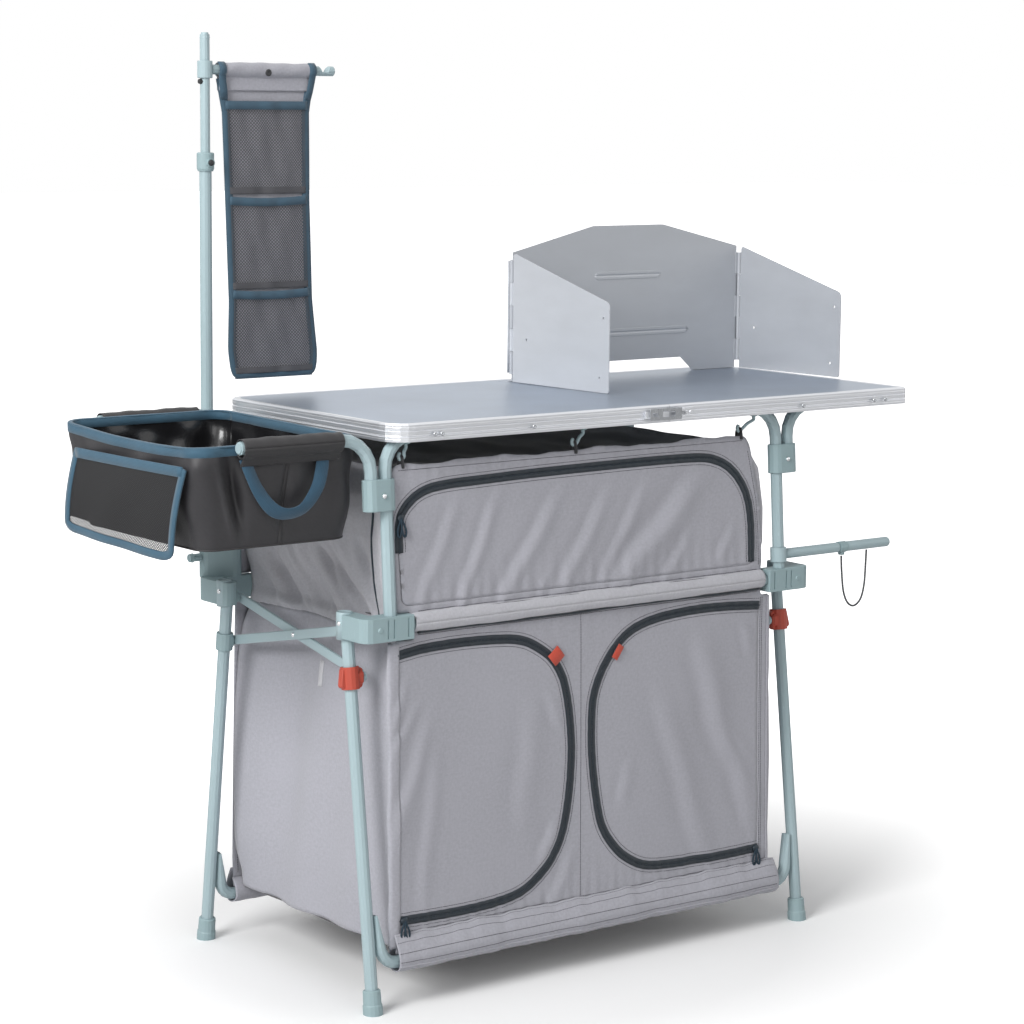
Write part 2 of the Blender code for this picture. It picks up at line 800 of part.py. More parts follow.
def slider(sx, sy, name, radius, tall, face, finish, carrier, ear):
    """A sleeve that slides on a leg and carries the low end of a bar."""
    along = Vector((0.0, -sy * LEG_SLOPE, 1.0)).normalized()
    middle = Vector((sx * LEG_X, sy * SLIDER_Y, SLIDER_Z))
    start, stop = middle - along * tall / 2.0, middle + along * tall / 2.0
    made = rod("sleeve", start, stop, radius, sides=14)
    pad = 0.0095
    low = (min(sx * face, sx * (LEG_X - 0.004)), sy * SLIDER_Y - pad, SLIDER_Z - pad)
    high = (max(sx * face, sx * (LEG_X - 0.004)), sy * SLIDER_Y + pad, SLIDER_Z + pad)
    made = fuse(made, eased(box("pad", low, high), 0.003))
    if ear:
        # Thumb wings flare out at the top and bottom of the lock clip
        wing = rounded(
            [(-0.019, -0.013), (0.017, -0.015), (0.019, 0.013), (-0.014, 0.015)],
            [0.004] * 4,
            2,
        )
        place = leaning(middle, sy * SPLAY) @ facing("y", (0.0, 0.0, 0.0))
        mirror = Matrix(((-sx, 0, 0, 0), (0, 1, 0, 0), (0, 0, 1, 0), (0, 0, 0, 1)))
        made = fuse(made, eased(plate("wings", wing, 0.010, matrix=place @ mirror), 0.0015))
        face_x = sx * face
        low = (min(face_x, face_x - sx * 0.02), sy * SLIDER_Y - 0.03, SLIDER_Z - 0.03)
        high = (max(face_x, face_x - sx * 0.02), sy * SLIDER_Y + 0.03, SLIDER_Z + 0.03)
        made = cut(made, box("face_cut", low, high))
    made = cut(made, bore("leg_bore", start - along * 0.02, stop + along * 0.02, TUBE_R + FIT, 12))
    finished(made, name, finish, carrier)


# Table outline in plan: left half from its outer end to the seam
TABLE_HALF = TABLE_LONG / 2.0
SEAM_X = TABLE_LEFT_X + TABLE_HALF


def rim_corner(sx):
    """How far the outer face of one half's rim is rounded at its corners."""
    return RIM_CORNER_LEFT if sx < 0 else RIM_CORNER_RIGHT


def rim(sx, finish, carrier):
    """The extruded frame round one half, grooved on its face, with a lip over the deck."""
    end = SEAM_X + sx * TABLE_HALF
    seam = SEAM_X + sx * SEAM_GAP / 2.0
    y = TABLE_DEEP / 2.0
    low = TABLE_TOP_Z + 0.0005 - RIM_TALL
    corners = [(seam, -y, 0.0), (end, -y, 0.0), (end, y, 0.0), (seam, y, 0.0)]
    path = bent(corners, rim_corner(sx), 5)
    tall = RIM_TALL
    # Section: u runs inward from the outer face, v runs up from the bottom edge
    section = [
        (0.0, 0.0),
        (RIM_WALL, 0.0),
        (RIM_WALL, tall - 0.0018),
        (RIM_WALL + RIM_LIP, tall - 0.0015),
        (RIM_WALL + RIM_LIP, tall - 0.0005),
        (RIM_WALL, tall),
        (0.0025, tall),
        (0.0, tall - 0.0022),
        (0.0, 0.0165),
        (0.0009, 0.0155),
        (0.0, 0.0145),
        (0.0, 0.0085),
        (0.0009, 0.0075),
        (0.0, 0.0065),
    ]
    rows = []
    for i, point in enumerate(path):
        ahead = path[min(i + 1, len(path) - 1)] - path[max(i - 1, 0)]
        side = Vector((-ahead.y, ahead.x, 0.0)).normalized() * (1.0 if sx > 0 else -1.0)
        corner_in = 0 < i < len(path) - 1
        stretch = 1.0
        if corner_in:
            before = (path[i] - path[i - 1]).normalized()
            after = (path[i + 1] - path[i]).normalized()
            stretch = 1.0 / max(math.cos(before.angle(after) / 2.0), 0.5)
        rows.append([point + side * u * stretch + Vector((0, 0, low + v)) for u, v in section])
    bm = bmesh.new()
    grid = [[bm.verts.new(p) for p in row] for row in rows]
    count = len(section)
    for one, two in zip(grid, grid[1:]):
        for k in range(count):
            bm.faces.new((one[k], one[(k + 1) % count], two[(k + 1) % count], two[k]))
    bm.faces.new(grid[0])
    bm.faces.new(list(reversed(grid[-1])))
    made = bm_object("rim", bm)
    if sx > 0:
        # The latch's foot is riveted on the right half
        x0 = SEAM_X + 0.022
        x1 = x0 + 0.024
        z = TABLE_TOP_Z - 0.012
        foot = box("latch_foot", (x0 + 0.0038, -y - 0.0016, z - 0.006), (x1, -y + 0.001, z + 0.006))
        made = fuse(made, foot)
        for x in (x0 + 0.008, x0 + 0.017):
            made = fuse(made, rod("rivet", (x, -y - 0.001, z), (x, -y - 0.003, z), 0.003, 0.002, 12))
        for z0, z1 in ((z - 0.006, z - 0.0025), (z + 0.0025, z + 0.006)):
            arm = box("arm", (x0, -y - 0.0040, z0), (x0 + 0.006, -y + 0.001, z1))
            knuckle = rod("knuckle", (x0, -y - 0.0034, z0), (x0, -y - 0.0034, z1), 0.0030, sides=12)
            made = fuse(made, arm, knuckle)
    else:
        x = SEAM_X + 0.022 - LATCH_LONG - 0.0005
        z = TABLE_TOP_Z - 0.012
        hook = box("catch", (x - 0.004, -y - 0.0044, z - 0.005), (x, -y + 0.001, z + 0.005))
        lip = box("catch_lip", (x - 0.006, -y - 0.0044, z - 0.005), (x - 0.002, -y - 0.0028, z + 0.005))
        made = fuse(made, hook, lip)
    finished(made, f"table_rim_{side_name(sx)}", finish["alu"], carrier)


def deck(sx, finish, carrier):
    """The sheet-covered panel that lies in the rim and on the frame's top tubes."""
    end = SEAM_X + sx * (TABLE_HALF - RIM_WALL - GAP)
    seam = SEAM_X + sx * SEAM_GAP / 2.0
    y = TABLE_DEEP / 2.0 - RIM_WALL - GAP
    corner = rim_corner(sx) - RIM_WALL - GAP
    corners = [(seam, -y), (end, -y), (end, y), (seam, y)]
    outline = rounded(corners, [0.0, corner, corner, 0.0], 5)
    top = TABLE_TOP_Z + 0.0005 - 0.0018 - GAP
    low = TABLE_TOP_Z - DECK_THICK
    made = plate("deck", outline, top - low, matrix=Matrix.Translation((0, 0, (top + low) / 2.0)))
    # A raised field inside the rim's lip brings the sheet level with the rim
    field = RIM_WALL + RIM_LIP + 0.0006
    y = TABLE_DEEP / 2.0 - field
    end = SEAM_X + sx * (TABLE_HALF - field)
    radius = max(rim_corner(sx) - field, 0.0)
    corners = [(seam, -y), (end, -y), (end, y), (seam, y)]
    raised = rounded(corners, [0.0, radius, radius, 0.0], 5)
    thick = TABLE_TOP_Z - top + 0.001
    middle = TABLE_TOP_Z - thick / 2.0
    made = fuse(made, plate("field", raised, thick, matrix=Matrix.Translation((0, 0, middle))))
    finished(made, f"table_deck_{side_name(sx)}", finish["deck"], carrier)


def latch_lever(finish, carrier, pivot):
    """The over-centre lever, a pressed frame with a window, that bridges the seam."""
    x, y, z = pivot
    long = LATCH_LONG
    half = LATCH_TALL / 2.0
    outline = rounded([(-long, -half), (-0.0002, -half), (-0.0002, half), (-long, half)], [0.003, 0.0, 0.0, 0.003], 2)
    windows = []
    for u0, u1, v in ((-0.0405, -0.0165, half - 0.0042), (-long + 0.004, -0.0485, half - 0.0055)):
        windows.append(rounded([(u0, -v), (u1, -v), (u1, v), (u0, v)], [0.0015] * 4, 2))
    thick = 0.0016
    place = facing("y", (x, y - 0.0028, z))
    made = plate("lever", outline, thick, windows, place)
    barrel = rod("barrel", (x, y, z - 0.0021), (x, y, z + 0.0021), 0.0030, sides=12)
    web = box("web", (x - 0.003, y - 0.0034, z - 0.0021), (x + 0.0012, y - 0.001, z + 0.0021))
    made = fuse(made, barrel, web)
    notch_low = box("notch", (x - 0.0042, y - 0.005, z - 0.02), (x + 0.01, y + 0.01, z - 0.0021))
    notch_high = box("notch", (x - 0.0042, y - 0.005, z + 0.0021), (x + 0.01, y + 0.01, z + 0.02))
    made = cut(made, notch_low, notch_high)
    finished(made, "latch_lever", finish["steel"], carrier, pivot)


SHIELD_BASE_Z = TABLE_TOP_Z + 0.0005 + GAP
HINGE_OFF = KNUCKLE_R + 0.0006


def shield_hinge(sx):
    """Where a wing's hinge line stands in plan."""
    x = SHIELD_X0 if sx < 0 else SHIELD_X0 + SHIELD_WIDE
    return Vector((x, SHIELD_Y - HINGE_OFF, 0.0))


def knuckles(name, centre, low, high, count, odd):
    """Every second barrel of a long hinge, as rods on one line."""
    step = (high - low) / count
    made = []
    for k in range(count):
        if k % 2 == odd:
            z0, z1 = low + step * k + GAP, low + step * (k + 1) - GAP
            made.append(rod(name, (centre.x, centre.y, z0), (centre.x, centre.y, z1), KNUCKLE_R, sides=8))
    return made


def shield_back(finish, carrier):
    """The back panel: raised middle, a cut-out at the foot, folded side edges."""
    wide = SHIELD_WIDE
    tall, peak = SHIELD_SIDE_TALL, SHIELD_MID_TALL
    inset = HINGE_OFF + 0.0004
    shoulder = wide * 0.347
    slope = (peak - tall) / shoulder
    gap0, gap1 = wide * 0.203, wide * 0.797
    gap_tall = 0.0225
    corners = [
        (inset, 0.0),
        (gap0, 0.0),
        (gap0 + 0.026, gap_tall),
        (gap1 - 0.026, gap_tall),
        (gap1, 0.0),
        (wide - inset, 0.0),
        (wide - inset, tall + slope * inset),
        (wide - shoulder, peak),
        (shoulder, peak),
        (inset, tall + slope * inset),
    ]
    outline = rounded(corners, [0.0, 0.004, 0.004, 0.004, 0.004, 0.0, 0.0, 0.030, 0.030, 0.0], 4)
    place = facing("y", (SHIELD_X0, SHIELD_Y, SHIELD_BASE_Z))
    made = plate("panel", outline, SHIELD_SHEET, matrix=place)
    # A hem pressed backwards stiffens the foot at each side of the cut-out
    for u0, u1 in ((inset, gap0 - 0.006), (gap1 + 0.006, wide - inset)):
        low = (SHIELD_X0 + u0, SHIELD_Y - 0.0004, SHIELD_BASE_Z + GAP)
        high = (SHIELD_X0 + u1, SHIELD_Y + 0.0120, SHIELD_BASE_Z + GAP + SHIELD_SHEET)
        made = fuse(made, box("hem", low, high))
    for sx in (-1, 1):
        centre = shield_hinge(sx)
        low = SHIELD_BASE_Z + 0.012
        high = SHIELD_BASE_Z + SHIELD_SIDE_TALL - 0.010
        edge = centre.x - sx * inset
        for barrel in knuckles("barrel", centre, low, high, 5, 0):
            zs = [v.co.z for v in barrel.data.vertices]
            leaf = box(
                "leaf",
                (min(centre.x, edge - sx * 0.002), centre.y + 0.0012, min(zs)),
                (max(centre.x, edge - sx * 0.002), SHIELD_Y + SHIELD_SHEET / 2.0, max(zs)),
            )
            made = fuse(made, barrel, leaf)
    finished(made, "shield_back", finish["steel"], carrier)


def shield_wing(sx, finish, carrier):
    """A side wing with a slanting top, three holes and its share of the hinge barrels."""
    turn = WING_LEFT_TURN if sx < 0 else WING_RIGHT_TURN
    centre = shield_hinge(sx)
    start = KNUCKLE_R + 0.0012
    long = WING_LONG
    corners = [(start, 0.0), (long, 0.0), (long, WING_END_TALL), (start, SHIELD_SIDE_TALL)]
    outline = rounded(corners, [0.0, 0.004, 0.010, 0.004], 3)
    holes = [
        ring((long * 0.16, WING_END_TALL * 0.50), 0.0022, 8),
        ring((long * 0.94, WING_END_TALL * 0.83), 0.0022, 8),
        ring((long * 0.91, WING_END_TALL * 0.16), 0.0022, 8),
    ]
    # Closed, the wing lies along the back panel; open, it is turned out from there
    inward = -sx
    angle = turn if sx > 0 else -turn
    mirror = Matrix(((inward, 0, 0, 0), (0, 1, 0, 0), (0, 0, 1, 0), (0, 0, 0, 1)))
    spin = Matrix.Rotation(angle, 4, "Z")
    place = Matrix.Translation((centre.x, centre.y, SHIELD_BASE_Z + 0.0004)) @ spin
    flat = plate("wing", outline, SHIELD_SHEET, holes, place @ mirror @ facing("y", (0.0, 0.0, 0.0)))
    made = flat
    low = SHIELD_BASE_Z + 0.012
    high = SHIELD_BASE_Z + SHIELD_SIDE_TALL - 0.010
    for barrel in knuckles("barrel", centre, low, high, 5, 1):
        zs = [v.co.z for v in barrel.data.vertices]
        half = SHIELD_SHEET / 2.0 - 0.0001
        leaf = box("leaf", (0.0, -half, 0.0), (start + 0.003, half, max(zs) - min(zs)))
        leaf.data.transform(
            Matrix.Translation((centre.x, centre.y, min(zs))) @ spin @ mirror
        )
        leaf.data.flip_normals() if inward < 0 else None
        made = fuse(made, barrel, leaf)
    finished(made, f"shield_wing_{side_name(sx)}", finish["steel"], carrier, (centre.x, centre.y, SHIELD_BASE_Z))


def mast_socket():
    """The clamp over the back left bracket that holds the mast's foot beside the post."""
    low = BRACKET_HIGH - 0.002
    middle = (low + SOCKET_HIGH) / 2.0
    post = Vector((-POST_X, post_y(middle)))
    mast = Vector((MAST_X, MAST_Y))
    line = (mast - post).normalized()
    first = math.degrees(math.atan2(line.y, line.x))
    outline = []
    for centre, begin in ((mast, first - 90.0), (post, first + 90.0)):
        for k in range(8):
            a = math.radians(begin + 180.0 * k / 7.0)
            outline.append((centre.x + CLAMP_R * math.cos(a), centre.y + CLAMP_R * math.sin(a)))
    return plate("socket", outline, SOCKET_HIGH - low, matrix=Matrix.Translation((0, 0, middle)))


def mast_screw(finish, carrier, pivot):
    """The clamp screw with a ribbed grip and a dark cap."""
    x, y, z = pivot
    start = (MAST_X - TUBE_R - 0.0006, y, z)
    made = rod("shank", start, (x - 0.001, y, z), RIVET_R, sides=12)
    grip = rod("grip", (x, y, z), (x - 0.014, y, z), 0.0062, 0.0055, 8)
    tip = rod("tip", (x - 0.013, y, z), (x - 0.019, y, z), 0.0072, 0.0060, 12)
    wing = box("wing", (x - 0.012, y - 0.009, z - 0.0016), (x - 0.003, y + 0.009, z + 0.0016))
    made = fuse(made, grip, tip, wing)
    finished(made, "mast_screw", finish["black"], carrier, pivot)


def mast_lower(finish, carrier):
    """The fixed mast tube."""
    made = tube("mast", [(MAST_X, MAST_Y, MAST_LOW_Z), (MAST_X, MAST_Y, MAST_SPLIT_Z)], wall=0.0013, resolution=5)
    finished(made, "mast_lower", finish["teal"], carrier)


def mast_collar(finish, carrier):
    """The lock collar pressed on the fixed tube's end, with a flared foot and a button bore."""
    low, high = MAST_SPLIT_Z - 0.0185, MAST_SPLIT_Z + 0.0085
    over = TUBE_R + GAP
    inner = (MAST_INNER_R + FIT) / math.cos(math.pi / 18)
    profile = [
        (over, MAST_SPLIT_Z + GAP),
        (inner, MAST_SPLIT_Z + GAP),
        (inner, high),
        (0.0115, high),
        (0.0128, high - 0.0015),
        (0.0128, low + 0.004),
        (0.0112, low),
        (over, low),
        (over, MAST_SPLIT_Z + GAP),
    ]
    made = turned("collar", profile, (MAST_X, MAST_Y, 0.0), (0, 0, 1), 18)
    z = MAST_SPLIT_Z - 0.006
    boss = rod("boss", (MAST_X, MAST_Y - 0.0105, z), (MAST_X, MAST_Y - 0.0165, z), 0.0062, sides=12)
    made = fuse(made, boss)
    hole = bore("button_bore", (MAST_X, MAST_Y - 0.0105, z), (MAST_X, MAST_Y - 0.03, z), 0.0043 + FIT, 12)
    made = cut(made, hole)
    finished(made, "mast_collar", finish["plastic"], carrier)
    return z


def button(name, pivot, direction, radius, out, deep, finish, carrier):
    """A round push button with a domed face."""
    start = Vector(pivot)
    axis = Vector(direction)
    profile = [
        (0.0, out),
        (radius * 0.55, out - 0.0002),
        (radius * 0.9, out - 0.0008),
        (radius, out - 0.0018),
        (radius, -deep),
        (0.0, -deep),
    ]
    made = turned(name, profile, start, axis, 12)
    finished(made, name, finish, carrier, pivot)


def mast_upper(finish, carrier):
    """The sliding tube with a capped top and a button hole under the arm."""
    x, y = MAST_X, MAST_Y
    made = tube(
        "upper",
        [(x, y, MAST_SPLIT_Z - MAST_SLEEVE_IN), (x, y, MAST_TOP_Z - 0.003)],
        radius=MAST_INNER_R,
        wall=0.0012,
        resolution=4,
    )
    cap = rod("cap", (x, y, MAST_TOP_Z - 0.008), (x, y, MAST_TOP_Z), MAST_INNER_R + 0.0006, MAST_INNER_R * 0.7, 12)
    made = fuse(made, cap)
    z = arm_button_z()
    hole = bore("button_hole", (x - 0.02, y, z), (x - 0.003, y, z), 0.0036 + FIT, 8)
    made = cut(made, hole)
    finished(made, "mast_upper", finish["teal"], carrier)


def arm_button_z():
    """The arm's collar rests on this button."""
    return HOOK_ARM_Z - 0.0125 - 0.0048


def hook_arm(finish, carrier, pivot):
    """The swivelling arm: a collar on the mast and a tube that ends in a hanging notch."""
    collar_r = MAST_INNER_R + FIT
    tall = 0.0125
    out_r = 0.0112
    hole = collar_r / math.cos(math.pi / 18)
    profile = [
        (hole, HOOK_ARM_Z + tall),
        (out_r - 0.001, HOOK_ARM_Z + tall),
        (out_r, HOOK_ARM_Z + tall - 0.001),
        (out_r, HOOK_ARM_Z - tall + 0.001),
        (out_r - 0.001, HOOK_ARM_Z - tall),
        (hole, HOOK_ARM_Z - tall),
        (hole, HOOK_ARM_Z + tall),
    ]
    made = turned("collar", profile, (MAST_X, MAST_Y, 0.0), (0, 0, 1), 18)
    start = MAST_X + 0.0095
    neck = solid_bar("neck", [(start, MAST_Y, HOOK_ARM_Z), (HOOK_ARM_END_X, MAST_Y, HOOK_ARM_Z)], HOOK_ARM_R, 3)
    made = fuse(made, eased(neck, 0.002, 2, 60.0))
    # The notch near the end, open at the top, where a lantern hangs
    notch = rounded(
        [(-0.0285, 0.0010), (-0.0185, 0.0010), (-0.0125, 0.012), (-0.0335, 0.012)],
        [0.003, 0.002, 0.0, 0.0],
        3,
    )
    place = facing("y", (HOOK_ARM_END_X + 0.006, MAST_Y, HOOK_ARM_Z - 0.003))
    made = cut(made, plate("notch", notch, 0.04, matrix=place))
    finished(made, "hook_arm", finish["teal"], carrier, pivot)


def towel_arm(finish, carrier, pivot):
    """The swinging arm on the right front post."""
    px, py, pz = pivot
    along = Vector((0.0, math.sin(POST_LEAN), math.cos(POST_LEAN)))
    start = Vector(pivot) - along * TOWEL_COLLAR_TALL / 2.0
    stop = Vector(pivot) + along * TOWEL_COLLAR_TALL / 2.0
    made = rod("collar", start, stop, 0.0125, sides=20)
    arm = solid_bar("arm", [(px + 0.010, py, pz), (TOWEL_END_X, py, pz)], TOWEL_R, 3)
    cap = rod("cap", (TOWEL_END_X - 0.012, py, pz), (TOWEL_END_X + 0.003, py, pz), TOWEL_R + 0.0012, TOWEL_R, 12)
    made = fuse(made, arm, cap)
    made = cut(made, bore("post_bore", start - along * 0.01, stop + along * 0.01, TUBE_R + FIT, 16))
    finished(made, "towel_arm", finish["plastic"], carrier, pivot)


LOOP_X0 = 0.4935
LOOP_X1 = 0.5475


def towel_clip(finish, carrier, pivot):
    """The sliding clip on the arm that pinches the cord loop."""
    py, pz = pivot[1], pivot[2]
    made = rod("clip", (LOOP_X0 - 0.007, py, pz), (LOOP_X0 + 0.007, py, pz), 0.0088, sides=12)
    tab = box("tab", (LOOP_X0 - 0.004, py - 0.004, pz - 0.0125), (LOOP_X0 + 0.004, py + 0.004, pz - 0.004))
    made = fuse(made, eased(tab, 0.001))
    hole = bore("arm_bore", (LOOP_X0 - 0.02, py, pz), (LOOP_X0 + 0.02, py, pz), TOWEL_R + GAP, 12)
    made = cut(made, hole)
    finished(made, "towel_clip", finish["plastic"], carrier, pivot)


def towel_loop(finish, carrier, pivot):
    """The elastic cord that hangs in a loop from the arm."""
    py, pz = pivot[1], pivot[2]
    start = Vector((LOOP_X0, py, pz - 0.0125 - LOOP_R - 0.0002))
    stop = Vector((LOOP_X1, py, pz - TOWEL_R - LOOP_R - 0.0006))
    low = 0.4815
    knots = [
        start,
        Vector((LOOP_X0 + 0.005, py, start.z - 0.030)),
        Vector((LOOP_X0 + 0.017, py - 0.001, low + 0.010)),
        Vector((LOOP_X0 + 0.029, py - 0.001, low)),
        Vector((LOOP_X0 + 0.041, py, low + 0.013)),
        Vector((LOOP_X1 - 0.002, py, stop.z - 0.034)),
        stop,
    ]
    points = smooth_route(knots, 4)
    made = solid_bar("loop", points, LOOP_R, 2)
    finished(made, "towel_loop", finish["black"], carrier, pivot)


def smooth_route(knots, steps):
    """Points on a Catmull-Rom curve through a route's own points."""
    points = []
    chain = [knots[0] * 2.0 - knots[1], *knots, knots[-1] * 2.0 - knots[-2]]
    for a, b, c, d in zip(chain, chain[1:], chain[2:], chain[3:]):
        for k in range(steps):
            t = k / steps
            points.append(
                0.5 * (2.0 * b + (c - a) * t + (2.0 * a - 5.0 * b + 4.0 * c - d) * t * t
                       + (3.0 * b - a - 3.0 * c + d) * t ** 3)
            )
    return points + [knots[-1]]


# Fabric planes: the lower panels run from rail to rail, the upper ones lean with the posts
LOW_Y = leg_y(RAIL_LOW_Z)
MID_Y = post_y(MID_RAIL_Z)
LOW_LEAN = math.atan((LOW_Y - MID_Y) / (MID_RAIL_Z - RAIL_LOW_Z))
LOW_RISE = math.hypot(LOW_Y - MID_Y, MID_RAIL_Z - RAIL_LOW_Z)
HIGH_RISE = (COVER_TOP_Z - MID_RAIL_Z) / math.cos(POST_LEAN)
NOTCH_X = BRACKET_IN_X - 0.006
NOTCH_Z = 0.022


def low_plane(sy):
    """Plate matrix of the lower panel: u along X, v up from the bottom rail."""
    return leaning((0.0, sy * LOW_Y, RAIL_LOW_Z), sy * LOW_LEAN) @ facing("y", (0.0, 0.0, 0.0))


def high_plane(sy):
    """Plate matrix of the upper panel: u along X, v up from the middle rail."""
    return leaning((0.0, sy * MID_Y, MID_RAIL_Z), sy * POST_LEAN) @ facing("y", (0.0, 0.0, 0.0))


# Door outlines as (u, v) in those planes, hinge side first
UPPER_DOOR = [(-0.305, 0.026), (0.306, 0.026), (0.300, 0.150), (0.236, 0.190), (-0.262, 0.186), (-0.322, 0.150)]
UPPER_DOOR_ROUND = [0.006, 0.006, 0.035, 0.045, 0.060, 0.020]
LEFT_DOOR = [(-0.346, 0.058), (-0.105, 0.082), (-0.046, 0.180), (-0.040, 0.330), (-0.092, 0.420), (-0.346, 0.432)]
LEFT_DOOR_ROUND = [0.006, 0.040, 0.055, 0.055, 0.040, 0.006]
RIGHT_DOOR = [(0.322, 0.060), (0.322, 0.438), (0.056, 0.402), (-0.006, 0.300), (-0.002, 0.175), (0.060, 0.068)]
RIGHT_DOOR_ROUND = [0.006, 0.006, 0.055, 0.055, 0.055, 0.040]


def grown(outline, by):
    """An outline moved outward by a distance, for the opening round a door."""
    count = len(outline)
    area = sum(
        outline[i][0] * outline[(i + 1) % count][1] - outline[(i + 1) % count][0] * outline[i][1]
        for i in range(count)
    )
    sign = 1.0 if area > 0 else -1.0
    points = []
    for i in range(count):
        before, here, after = (Vector(outline[(i + k) % count]) for k in (-1, 0, 1))
        one, two = (here - before).normalized(), (after - here).normalized()
        side = Vector((one.y + two.y, -one.x - two.x)).normalized() * sign
        bend = max(math.cos(one.angle(two) / 2.0), 0.4)
        points.append(tuple(here + side * (by / bend)))
    return points


def sleeve(name, sy, y, z, x0, x1):
    """A hollow fabric sleeve round a rail."""
    made = rod(name, (x0, sy * y, z), (x1, sy * y, z), SLEEVE_R, sides=14)
    return cut(made, bore("sleeve_bore", (x0 - 0.01, sy * y, z), (x1 + 0.01, sy * y, z), TUBE_R + FIT, 12))


def cover_panel(sy, doors, finish, carrier):
    """The front or back of the fabric cupboard, sewn to sleeves on its rails."""
    x0, x1 = COVER_LEFT_X, COVER_RIGHT_X
    low_top = LOW_RISE - NOTCH_Z
    low_start = SLEEVE_R - 0.0008
    tab = NOTCH_X - 0.0014
    lower = [
        (x0, low_start),
        (x1, low_start),
        (x1, low_top),
        (tab + 0.0008, low_top),
        (tab + 0.0008, LOW_RISE - SLEEVE_R + 0.0008),
        (-tab - 0.0008, LOW_RISE - SLEEVE_R + 0.0008),
        (-tab - 0.0008, low_top),
        (x0, low_top),
    ]
    u0, u1 = -POST_X + TUBE_R + 0.005, POST_X - TUBE_R - 0.018
    over = BRACKET_HIGH - MID_RAIL_Z + 0.0035
    upper = [
        (-tab, SLEEVE_R - 0.0008),
        (tab, SLEEVE_R - 0.0008),
        (tab, over),
        (u1, over + 0.002),
        (u1 - 0.010, 0.190),
        (u1 - 0.050, HIGH_RISE),
        (u0 + 0.030, HIGH_RISE - 0.003),
        (u0, 0.190),
        (u0, over + 0.002),
        (-tab, over),
    ]
    low_round = rounded(lower, [0.0] * 8, 1)
    high_round = rounded(upper, [0.0, 0.0, 0.0, 0.0, 0.040, 0.012, 0.012, 0.020, 0.0, 0.0], 4)
    low_holes, high_holes = [], []
    if doors:
        low_holes = [
            rounded(grown(LEFT_DOOR, DOOR_GAP), [r + DOOR_GAP for r in LEFT_DOOR_ROUND], 3),
            rounded(grown(RIGHT_DOOR, DOOR_GAP), [r + DOOR_GAP for r in RIGHT_DOOR_ROUND], 3),
        ]
        high_holes = [rounded(grown(UPPER_DOOR, DOOR_GAP), [r + DOOR_GAP for r in UPPER_DOOR_ROUND], 3)]
    made = fuse(
        sleeve("mid_sleeve", sy, MID_Y, MID_RAIL_Z, -NOTCH_X, NOTCH_X),
        plate("lower", low_round, CLOTH, low_holes, low_plane(sy)),
        plate("upper", high_round, CLOTH, high_holes, high_plane(sy)),
        sleeve("low_sleeve", sy, LOW_Y, RAIL_LOW_Z, x0 + 0.004, x1 + 0.004),
    )
    finished(made, f"cover_{end_name(sy)}", finish["cloth"], carrier)


def door(name, outline, radii, plane, pivot, finish, carrier):
    """A zipped fabric door with a doubled edge."""
    loop = rounded(outline, radii, 3)
    made = plate("door", loop, CLOTH, matrix=plane)
    finished(made, name, finish["cloth"], carrier, pivot)


def bellows(finish, carrier):
    """Sides, floor and top of the cupboard as one folded skin, with the shelf across it."""
    rows = []
    stations = 9
    side_low = [(0.078, -0.347), (0.16, -0.356), (0.26, -0.358), (0.36, -0.356), (0.44, -0.350), (0.50, -0.340)]
    side_high = [(0.54, -0.334), (0.59, -0.342), (0.65, -0.345), (0.71, -0.338), (0.748, -0.312)]
    left = [(x, z) for z, x in side_low + side_high]
    right = [(-x - 0.012, z) for x, z in reversed(left)]
    top = [(x, 0.750 + 0.004 * math.cos(x * 9.0)) for x in np.linspace(-0.24, 0.23, 7)]
    floor = [(x, COVER_FLOOR_Z - 0.001) for x in np.linspace(0.25, -0.25, 5)]
    outline = left + top + right + floor
    for k in range(stations):
        t = -1.0 + 2.0 * k / (stations - 1)
        row = []
        for x, z in outline:
            low = RAIL_LOW_Z <= z <= MID_RAIL_Z
            span = LOW_Y + (MID_Y - LOW_Y) * (z - RAIL_LOW_Z) / (MID_RAIL_Z - RAIL_LOW_Z) if low else post_y(z)
            depth = span - SLEEVE_R - BELLOWS_CLEAR
            if abs(x) > 0.3:
                # The side cloth is drawn in between the legs and creased where it folds
                hollow = 0.016 * (1.0 - t * t) * math.sin(math.pi * min(max((z - 0.08) / 0.66, 0.0), 1.0))
                crease = 0.004 * math.cos(3.0 * math.pi * t + 9.0 * z) * (1.0 - t ** 4)
                x -= math.copysign(hollow + crease, x)
            elif z > 0.7:
                z -= 0.010 * (1.0 - t * t)
            row.append(Vector((x, t * depth, z)))
        rows.append(row)
    bm = bmesh.new()
    grid = [[bm.verts.new(p) for p in row] for row in rows]
    count = len(outline)
    for one, two in zip(grid, grid[1:]):
        for k in range(count):
            bm.faces.new((one[k], one[(k + 1) % count], two[(k + 1) % count], two[k]))
    skin = bm_object("skin", bm)
    shell = skin.modifiers.new("cloth", "SOLIDIFY")
    shell.thickness = CLOTH
    shell.offset = 0.0
    made = baked(skin)
    shelf_half = MID_Y - SLEEVE_R - BELLOWS_CLEAR - 0.002
    shelf = box("shelf", (-0.332, -shelf_half, MID_RAIL_Z - 0.004), (0.320, shelf_half, MID_RAIL_Z - 0.004 + CLOTH))
    made = fuse(made, shelf)
    finished(made, "cover_bellows", finish["cloth"], carrier)


